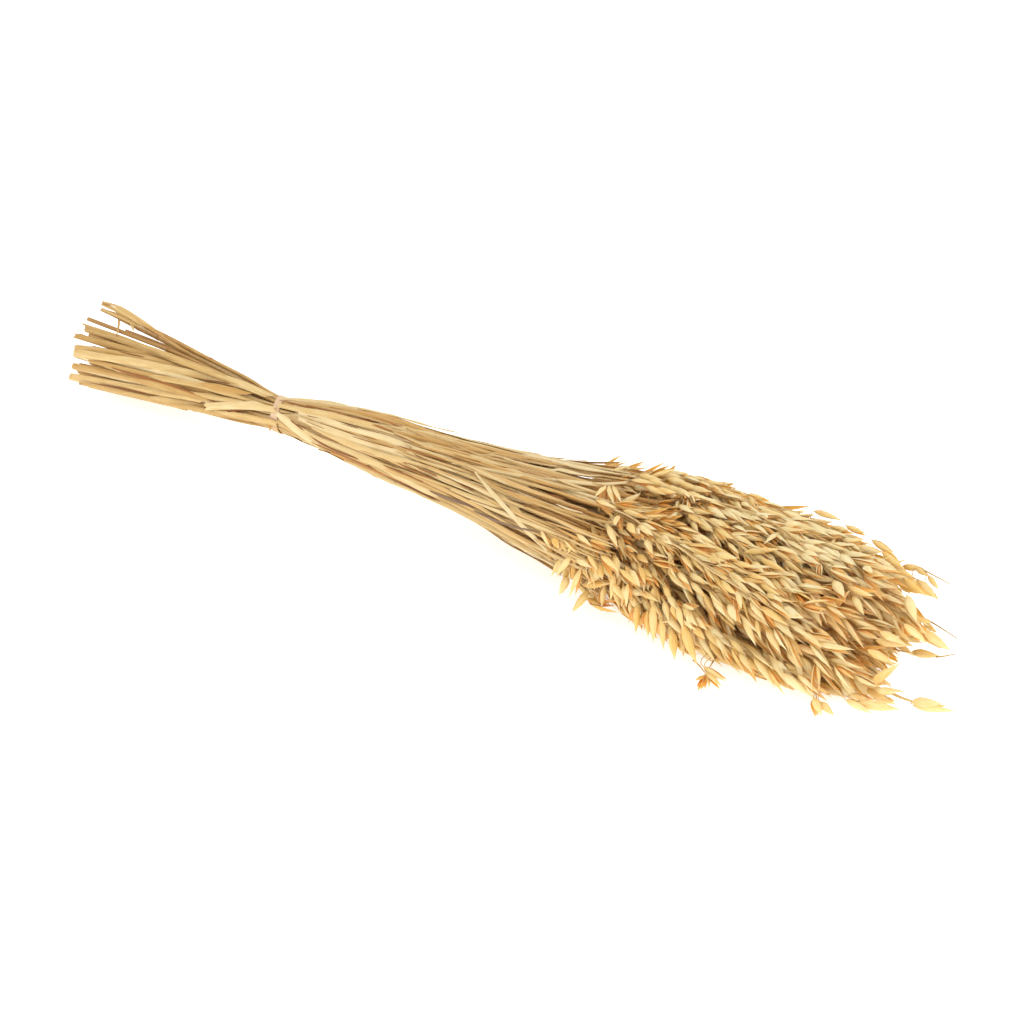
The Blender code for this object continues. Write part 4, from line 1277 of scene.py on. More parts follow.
# ================================================================ culms, sheaths and attached blades
def add_culm(piece, i, rs):
    mine = np.nonzero((sp["head"][:S] == i) & SHOW[:S])[0]
    x0 = cut[i]
    x1 = min(tip[i] - 0.012, float(base[mine, 0].max()) + 0.001 if len(mine) else tip[i])
    knots = [rs.uniform(0.020, 0.120)] if rs.random() < 0.6 else []
    knots.append(rs.uniform(0.215, 0.345))
    xs = np.concatenate([np.arange(x0 + 0.004, x1, 0.0075)] + [k + np.array([-0.003, -0.0013, 0, 0.0013, 0.003]) for k in knots])
    xs = np.sort(np.concatenate([xs[(xs > x0 + 0.002) & (xs < x1 - 0.002)], [x1]]))
    keep = np.concatenate([[True], np.diff(xs) > 0.0009])
    xs = xs[keep]
    r = culm_radius(xs, thick[i])
    head = smooth(foot[i] - 0.02, foot[i] + 0.03, xs)
    r = r * (1 - head) + head * (0.00085 - 0.00055 * np.clip((xs - foot[i]) / (tip[i] - foot[i]), 0, 1))
    dark = np.zeros_like(xs)
    for k in knots:
        r = r * (1 + 0.26 * np.exp(-((xs - k) / 0.0016) ** 2))
        dark = dark + np.exp(-((xs - k) / 0.0014) ** 2)
    # the hollow cut end: up the inside wall, over the rim, then along the outside
    r0 = culm_radius(np.array([x0]), thick[i])[0]
    xi = np.array([x0 + 0.007, x0 + 0.0002, x0, x0 + 0.0003])
    ri = np.array([0.56, 0.64, 0.94, 1.0]) * r0
    xs2 = np.concatenate([xi, xs])
    r2 = np.concatenate([ri, r])
    C, T = centre(i, xs2)
    # a dried stem is never quite straight
    wob = 0.00035 * np.sin(xs2[:, None] * np.array([[71.0, 53.0]]) + rs.uniform(0, 6.28, (1, 2)))
    wob = wob * (1 - smooth(0.15, 0.17, xs2) + smooth(0.182, 0.21, xs2))[:, None]
    C = C + np.concatenate([np.zeros((len(xs2), 1)), wob], 1)
    flat = 1 - 0.28 * rs.random() * np.exp(-((xs2 - x0) / 0.03)) - 0.08
    slant = np.zeros(len(xs2))
    slant[1:4] = rs.normal(0, 0.55) * r0
    V = tube_verts(C, T, r2, 8, flat=flat, phase=rs.uniform(0, 6.28), slant=slant)
    us = np.concatenate([[-0.006, -0.001, 0.0, 0.0005], xs - x0]) / 0.010
    topo = topo_tube(us, 8, split=6, mu=0.01)
    n = len(xs2)
    T4 = np.ones((1, n * 8, 4))
    T4[..., 0] = np.repeat(rs.uniform(0.15, 0.85) - 0.46 * smooth(0.17, 0.04, xs2), 8)[None]
    T4[..., 1] = 0.45
    inside = np.concatenate([[1.4, 1.2, 0.1, 0.0], dark * 0.9])
    T4[..., 2] = np.repeat(inside, 8)[None]
    piece.put(topo, V.reshape(1, -1, 3), np.array([(x1 - x0) / 6, 0.0085]), (1.0, 3.0), rs.uniform(0, 60, 2), M_CULM, T4)
    return knots


def add_leaf(piece, i, rs, xa, length_sheath, length_blade, width, azim, drift, lift, nv=7, spin=0.0, ends="torn", wave=0.0, puff=1.0):
    """A leaf that wraps the culm from xa and leaves it as a flat blade further on."""
    n = max(8, int((length_sheath + length_blade) / 0.009))
    s = np.linspace(0, 1, n)
    total = length_sheath + length_blade
    x = xa + total * s * 0.985
    C, T = centre(i, x)
    rc = culm_radius(x, thick[i])
    fs = length_sheath / total if length_blade > 0 else 1.0
    open_ = smooth(fs - 0.10, fs + 0.16, s) if length_blade > 0 else smooth(0.80, 1.05, s) * 0.55
    rho0 = rc + puff * (0.00042 + 0.0006 * rs.random())
    arc = rs.uniform(0.72, 0.95)
    w_wrap = 2 * np.pi * rho0 * arc
    w_flat = width * np.clip((1 - s) / 0.55, 0.12, 1.0) ** 0.75 if length_blade > 0 else width * np.ones(n)
    w = w_wrap * (1 - open_) + w_flat * open_
    gam = (np.pi * arc) * (1 - open_) + (0.30 + 0.2 * rs.random()) * open_
    h = rho0 * (1 - open_) + (rho0 + lift * smooth(0, 1, (s - fs) / max(1e-3, 1 - fs))) * open_
    az = azim + drift * np.clip((s - fs * 0.8) / max(1e-3, 1 - fs * 0.8), 0, 1) if length_blade > 0 else np.full(n, azim)
    N1_ = unit(np.cross(np.cross(T, np.broadcast_to(up, T.shape)), T))
    N2_ = np.cross(N1_, T)
    out = np.cos(az)[:, None] * N1_ + np.sin(az)[:, None] * N2_
    turn = spin * open_ * s
    rip = None
    if wave:
        rip = (wave * open_ * np.sin(s * 26 + rs.uniform(0, 6)))[:, None] * np.linspace(-1, 1, nv)[None]
    A, B = sheet_verts(C, T, out, h, w, gam, 0.0002, nv, turn=turn, ripple=rip)
    topo = topo_shell(s, np.linspace(-1, 1, nv), mu=0.01)
    if ends == "torn":
        # ragged end: some of the strips run on, others stop short
        jag = rs.normal(0, 0.0028, nv)
        for G in (A, B):
            G[-1] += T[-1] * jag[:, None]
    V = np.concatenate([A.reshape(-1, 3), B.reshape(-1, 3)])[None]
    T4 = np.ones((1, 2 * n * nv, 4))
    T4[..., 0] = rs.uniform(0.2, 1.0)
    T4[..., 1] = np.tile(np.repeat(0.35 + 0.5 * open_ * s, nv), 2)[None]
    T4[..., 2] = np.concatenate([np.zeros(n * nv), np.ones(n * nv) * 0.8])[None]
    piece.put(topo, V, np.array([total, 0.0075]) * np.array([0.5, 0.6]), (total / 0.010, 1.6), rs.uniform(0, 60, 2), M_SHEATH, T4)


def strip_path(x0, x1, a0, a1, lift0, lift1, n, bow=0.0):
    """Points on the bundle's outside and their outward directions; angles in degrees."""
    s = np.linspace(0, 1, n)
    C, O = [], []
    for u in s:
        c, o = on_outline(x0 + (x1 - x0) * u, math.radians(a0 + (a1 - a0) * u + bow * 4 * u * (1 - u)),
                          lift0 + (lift1 - lift0) * u * u)
        c[2] += squeeze(c)
        C.append(c)
        O.append(o)
    return s, np.array(C), np.array(O)


def nearest_stalk(x, angle):
    """The stalk that passes closest to a place on the bundle's outside."""
    c, _ = on_outline(x, math.radians(angle), 0.0)
    P, _ = centre(np.arange(N_STALKS), np.full(N_STALKS, x))
    d = np.linalg.norm(P - c, axis=1) + 0.02 * (cut > x - 0.004)
    return int(np.argmin(d))


def add_strip(piece, i, rs, x0, x1, a0, a1, width, lift0, lift1, tone=0.6, end="point", fold=0.0, bow=0.0,
              inside=0.0, nv=7, root=0.16, mat=None):
    """A flat leaf blade that grows from stalk i at x0 and lies along the outside of the bundle."""
    n = max(9, int(abs(x1 - x0) / 0.0075))
    s, C, O = strip_path(x0, x1, a0, a1, lift0, lift1, n, bow)
    Pc, Tc = centre(i, C[:, 0])
    k = (1 - smooth(0.0, root, s))[:, None]
    on_culm = Pc + O * (culm_radius(C[:, 0], thick[i]) + 0.0004)[:, None]
    C = C * (1 - k) + on_culm * k
    C[1:-1] = 0.25 * C[:-2] + 0.5 * C[1:-1] + 0.25 * C[2:]
    T = unit(np.gradient(C, axis=0))
    if end == "point":
        w = width * (0.45 + 0.55 * smooth(0, 0.18, s)) * (0.10 + 0.90 * np.minimum(1, (1 - s) / 0.5) ** 0.75)
    else:
        w = width * (0.5 + 0.5 * smooth(0, 0.15, s)) * (0.82 + 0.18 * (1 - s))
    gam = 1.3 * (1 - smooth(0.0, root + 0.04, s)) + rs.uniform(0.22, 0.5)
    v = np.linspace(-1, 1, nv)
    rip = (rs.uniform(0.0001, 0.0003) * np.sin(s * (x1 - x0) * 160 + rs.uniform(0, 6)))[:, None] * v[None]
    rip = rip - fold * np.abs(v)[None] * w[:, None] * 0.5 + (rs.normal(0, 0.00012, nv))[None] * np.ones((n, 1))
    A, B = sheet_verts(C, T, O, np.zeros(n), w, gam, 0.0002, nv, turn=rs.normal(0, 0.22) + rs.normal(0, 0.25) * s, ripple=rip)
    jag = rs.normal(0, 0.0012 if end == "point" else 0.0022, nv)
    for G in (A, B):
        G[-1] += T[-1] * jag[:, None]
    T4 = np.ones((1, 2 * n * nv, 4))
    T4[..., 0] = tone
    T4[..., 1] = np.tile(np.repeat(0.34 + 0.45 * s, nv), 2)[None]
    T4[..., 2] = np.concatenate([np.full(n * nv, inside), np.full(n * nv, 0.8)])[None]
    piece.put(topo_shell(s, v, mu=0.01), np.concatenate([A.reshape(-1, 3), B.reshape(-1, 3)])[None],
              np.array([abs(x1 - x0) * 0.6, max(width, 0.003) * 0.9]), (abs(x1 - x0) / 0.010, 1.6), rs.uniform(0, 60, 2),
              M_SHEATH if mat is None else mat, T4)


def add_path(piece, rs, pts, width, e0, e1, tone, inside, mat, order):
    """A leaf or sheath laid along the stems through places in the frame; width in pixels, e0 and e1
    how wide its two ends are beside its middle, order how far up it lies among its neighbours."""
    pts = np.array(pts, float)
    d = np.concatenate([[0], np.cumsum(np.linalg.norm(np.diff(pts, axis=0), axis=1))])
    n = int(np.clip(d[-1] / 8.0, 6, 24)) + 1
    s = np.linspace(0, 1, n)
    px = np.stack([np.interp(s * d[-1], d, pts[:, c]) for c in (0, 1)], -1)
    for _ in range(2):
        px[1:-1] = 0.25 * px[:-2] + 0.5 * px[1:-1] + 0.25 * px[2:]
    dep = np.array([surface_at(*q) for q in px])
    low = np.minimum(dep, np.minimum(np.r_[dep[1:], dep[-1]], np.r_[dep[0], dep[:-1]]))
    for _ in range(4):
        low[1:-1] = 0.25 * low[:-2] + 0.5 * low[1:-1] + 0.25 * low[2:]
    C = np.array([at_pixel(*q, dd) for q, dd in zip(px, low)])
    p_, q_, a_, b_ = section(C)
    nrm = unit(np.stack([np.zeros(n), p_ / a_, q_ / b_], -1))
    O = unit(0.45 * nrm - 0.55 * CAM_F)
    lift = (0.0011 + 0.00022 * order) * (0.25 + 0.75 * smooth(0.004, 0.014, np.abs(C[:, 0] - TIE_X)))
    C = C - CAM_F * lift[:, None]
    C[:, 2] = np.maximum(C[:, 2], FLOOR + 0.0016)
    T = unit(np.gradient(C, axis=0))
    w = width * low / FOCAL * (e0 + (1 - e0) * smooth(0, 0.28, s)) * (e1 + (1 - e1) * smooth(0, 0.34, 1 - s))
    w = w * (1 + 0.05 * np.sin(s * d[-1] * 0.11 + rs.uniform(0, 6)))
    nv = 7 if width > 3 else 5
    v = np.linspace(-1, 1, nv)
    gam = np.full(n, rs.uniform(0.45, 0.9) if width > 3 else 0.9)
    rip = (rs.normal(0, 0.00010, nv))[None] * np.ones((n, 1)) if width > 3 else None
    A, B = sheet_verts(C, T, O, np.zeros(n), w, gam, 0.0002, nv, turn=rs.normal(0, 0.12) + rs.normal(0, 0.15) * s, ripple=rip)
    j0, j1 = rs.normal(0, 0.0007 + 0.0010 * (e0 > 0.6), nv), rs.normal(0, 0.0007 + 0.0010 * (e1 > 0.6), nv)
    for G in (A, B):
        G[0] += T[0] * j0[:, None]
        G[-1] += T[-1] * j1[:, None]
    T4 = np.ones((1, 2 * n * nv, 4))
    T4[..., 0] = tone
    T4[..., 1] = 0.5
    T4[..., 2] = np.concatenate([np.full(n * nv, inside), np.full(n * nv, 0.8)])[None]
    length = d[-1] * FAR / FOCAL
    piece.put(topo_shell(s, v, mu=0.01), np.concatenate([A.reshape(-1, 3), B.reshape(-1, 3)])[None],
              np.array([length * 0.8, max(0.002, float(w.max())) * 1.1]), (length / 0.010, 1.6), rs.uniform(0, 60, 2), mat, T4)


def add_rolled(piece, i, rs, x0, x1, a0, a1, rho, width, tone, inside):
    """A leaf rolled in on itself, running with the stems at a share rho of the way out of the bundle."""
    n = max(8, int((x1 - x0) / 0.011))
    s = np.linspace(0, 1, n)
    x = x0 + (x1 - x0) * s
    R_ = np.array([read_outline(min(v_, 0.719)) for v_ in x])
    an = np.radians(a0 + (a1 - a0) * s)
    out_ = np.array([on_outline(v_, t_, 0.0)[0] for v_, t_ in zip(x, an)])
    mid_ = np.stack([x, R_[:, 0], 0.5 * (R_[:, 2] + R_[:, 3])], -1)
    C = mid_ + (out_ - mid_) * rho
    C[:, 2] += squeeze(C)
    P0, _ = centre(i, x)
    k = (1 - smooth(0.0, 0.12, s))[:, None] * 0.8
    C = C * (1 - k) + P0 * k
    C[:, 1:] += 0.0005 * np.stack([np.sin(x * 61 + rs.uniform(0, 6)), np.sin(x * 47 + rs.uniform(0, 6))], -1)
    C[1:-1] = 0.25 * C[:-2] + 0.5 * C[1:-1] + 0.25 * C[2:]
    T = unit(np.gradient(C, axis=0))
    O = unit(out_ - mid_)
    w = width * (0.7 + 0.3 * smooth(0, 0.1, s)) * (0.25 + 0.75 * smooth(0, 0.3, 1 - s))
    nv = 5
    v = np.linspace(-1, 1, nv)
    A, B = sheet_verts(C, T, O, np.zeros(n), w, np.full(n, rs.uniform(0.8, 1.5)), 0.0002, nv, turn=rs.normal(0, 0.35))
    T4 = np.ones((1, 2 * n * nv, 4))
    T4[..., 0] = tone
    T4[..., 1] = 0.45
    T4[..., 2] = np.concatenate([np.full(n * nv, inside), np.full(n * nv, 0.8)])[None]
    piece.put(topo_shell(s, v, mu=0.01), np.concatenate([A.reshape(-1, 3), B.reshape(-1, 3)])[None],
              np.array([(x1 - x0) * 0.45, max(width, 0.003) * 0.8]), ((x1 - x0) / 0.010, 1.6), rs.uniform(0, 60, 2), M_SHEATH, T4)


def add_between(piece, i, j, rs, x0, x1, width, tone):
    """A torn sheath of stalk i that lies between it and stalk j, left of the band."""
    n = 14
    s = np.linspace(0, 1, n)
    x = x0 + (x1 - x0) * s
    Pi, Ti = centre(i, x)
    Pj, _ = centre(j, x)
    f = rs.uniform(0.35, 0.6) * (0.6 + 0.4 * smooth(0, 0.3, s))[:, None]
    C = Pi * (1 - f) + Pj * f
    T = unit(np.gradient(C, axis=0))
    side = unit(Pj - Pi + 1e-9)
    O = unit(np.cross(side, T) * (1 if rs.random() < 0.5 else -1) + 0.5 * up)
    w = width * (0.8 + 0.2 * smooth(0, 0.1, s)) * (0.3 + 0.7 * smooth(0, 0.4, 1 - s))
    nv = 7
    v = np.linspace(-1, 1, nv)
    A, B = sheet_verts(C, T, O, np.zeros(n), w, np.full(n, rs.uniform(0.5, 1.2)), 0.0002, nv, turn=rs.normal(0, 0.4),
                       ripple=rs.normal(0, 0.00012, nv)[None] * np.ones((n, 1)))
    jag = rs.normal(0, 0.0016, nv)
    for G in (A, B):
        G[0] += T[0] * jag[:, None]
    T4 = np.ones((1, 2 * n * nv, 4))
    T4[..., 0] = tone
    T4[..., 1] = 0.45
    T4[..., 2] = np.concatenate([np.zeros(n * nv), np.full(n * nv, 0.8)])[None]
    piece.put(topo_shell(s, v, mu=0.01), np.concatenate([A.reshape(-1, 3), B.reshape(-1, 3)])[None],
              np.array([(x1 - x0) * 0.6, width]), ((x1 - x0) / 0.010, 1.6), rs.uniform(0, 60, 2), M_SHEATH, T4)


# leaf blades and sheaths that lie along the outside of the stems, each grown from the stalk nearest to its start:
# x0, x1, angle there (degrees, from +Y towards +Z), width, lift at both ends, tone, end, darkness
STRIPS = [
    # right of the band
    (0.186, 0.262, 66, 62, 0.0062, 0.0004, 0.0010, 0.85, "point", 0.0),
    (0.182, 0.224, 92, 104, 0.0050, 0.0004, 0.0016, 0.80, "blunt", 0.0),
    (0.190, 0.318, 104, 98, 0.0078, 0.0005, 0.0009, 0.90, "point", 0.0),
    (0.196, 0.300, 128, 118, 0.0066, 0.0004, 0.0008, 0.62, "point", 0.0),
    (0.184, 0.292, 150, 138, 0.0080, 0.0005, 0.0008, 0.78, "point", 0.0),
    (0.200, 0.330, 168, 152, 0.0066, 0.0004, 0.0008, 0.60, "point", 0.1),
    (0.181, 0.217, 150, 205, 0.0052, 0.0006, 0.0016, 0.88, "blunt", 0.0),
    (0.226, 0.300, 196, 190, 0.0060, 0.0003, 0.0006, 0.10, "point", 0.9),
    (0.224, 0.320, 84, 78, 0.0046, 0.0004, 0.0010, 0.20, "point", 0.55),
    (0.252, 0.376, 70, 66, 0.0058, 0.0004, 0.0009, 0.80, "point", 0.0),
    (0.262, 0.384, 112, 104, 0.0048, 0.0004, 0.0008, 0.74, "point", 0.0),
    (0.270, 0.398, 138, 132, 0.0050, 0.0004, 0.0008, 0.30, "point", 0.35),
    (0.300, 0.410, 86, 84, 0.0042, 0.0003, 0.0008, 0.66, "point", 0.0),
    (0.310, 0.422, 122, 118, 0.0036, 0.0003, 0.0006, 0.45, "point", 0.2),
    (0.292, 0.400, 158, 150, 0.0046, 0.0003, 0.0006, 0.66, "point", 0.0),
    (0.280, 0.392, 182, 178, 0.0048, 0.0003, 0.0006, 0.55, "point", 0.0),
    (0.330, 0.430, 176, 172, 0.0040, 0.0003, 0.0006, 0.62, "point", 0.0),
    (0.380, 0.432, 62, 58, 0.0046, 0.0004, 0.0020, 0.95, "point", 0.0),
    (0.395, 0.440, 84, 90, 0.0044, 0.0006, 0.0022, 0.95, "point", 0.0),
]


def outward(i, x):
    """Angle, in stalk i's own frame at x, that points out of the bundle."""
    P, T = centre(i, np.array([x]))
    p, q, a, b = section(P)
    o = np.stack([np.zeros(1), p / a, q / b], -1)
    N1_ = unit(np.cross(np.cross(T, np.broadcast_to(up, T.shape)), T))
    N2_ = np.cross(N1_, T)
    return float(np.arctan2((o * N2_).sum(), (o * N1_).sum())), float(np.hypot(p, q)[0])


strips_of = {}
for st in STRIPS:
    strips_of.setdefault(nearest_stalk(st[0], st[2]), []).append(st)
rx = np.random.default_rng(606)
for k_ in range(64):
    # the same all the way round, wider near the band
    x0_ = rx.uniform(0.182, 0.34) if k_ < 64 else rx.uniform(0.02, 0.10)
    if k_ < 64:
        x1_ = min(0.44, x0_ + rx.uniform(0.07, 0.16))
        w_ = rx.uniform(0.0028, 0.0056) * (1.12 - 1.6 * (x0_ - 0.182))
    else:
        x1_ = min(0.168, x0_ + rx.uniform(0.05, 0.12))
        w_ = rx.uniform(0.0030, 0.0050)
    a0_ = (k_ * 137.508 + rx.normal(0, 14)) % 360
    st = (x0_, x1_, a0_, a0_ + rx.normal(0, 9), w_, rx.uniform(0.0, 0.0005), rx.uniform(0.0002, 0.0012),
          float(rx.uniform(0.15, 1.0)), "blunt" if rx.random() < 0.3 else "point", float(rx.random() < 0.25) * rx.uniform(0.2, 0.7))
    strips_of.setdefault(nearest_stalk(st[0], st[2]), []).append(st)

H, D, G = M_SHEATH, M_STAIN_AND_SHADE, M_GREY
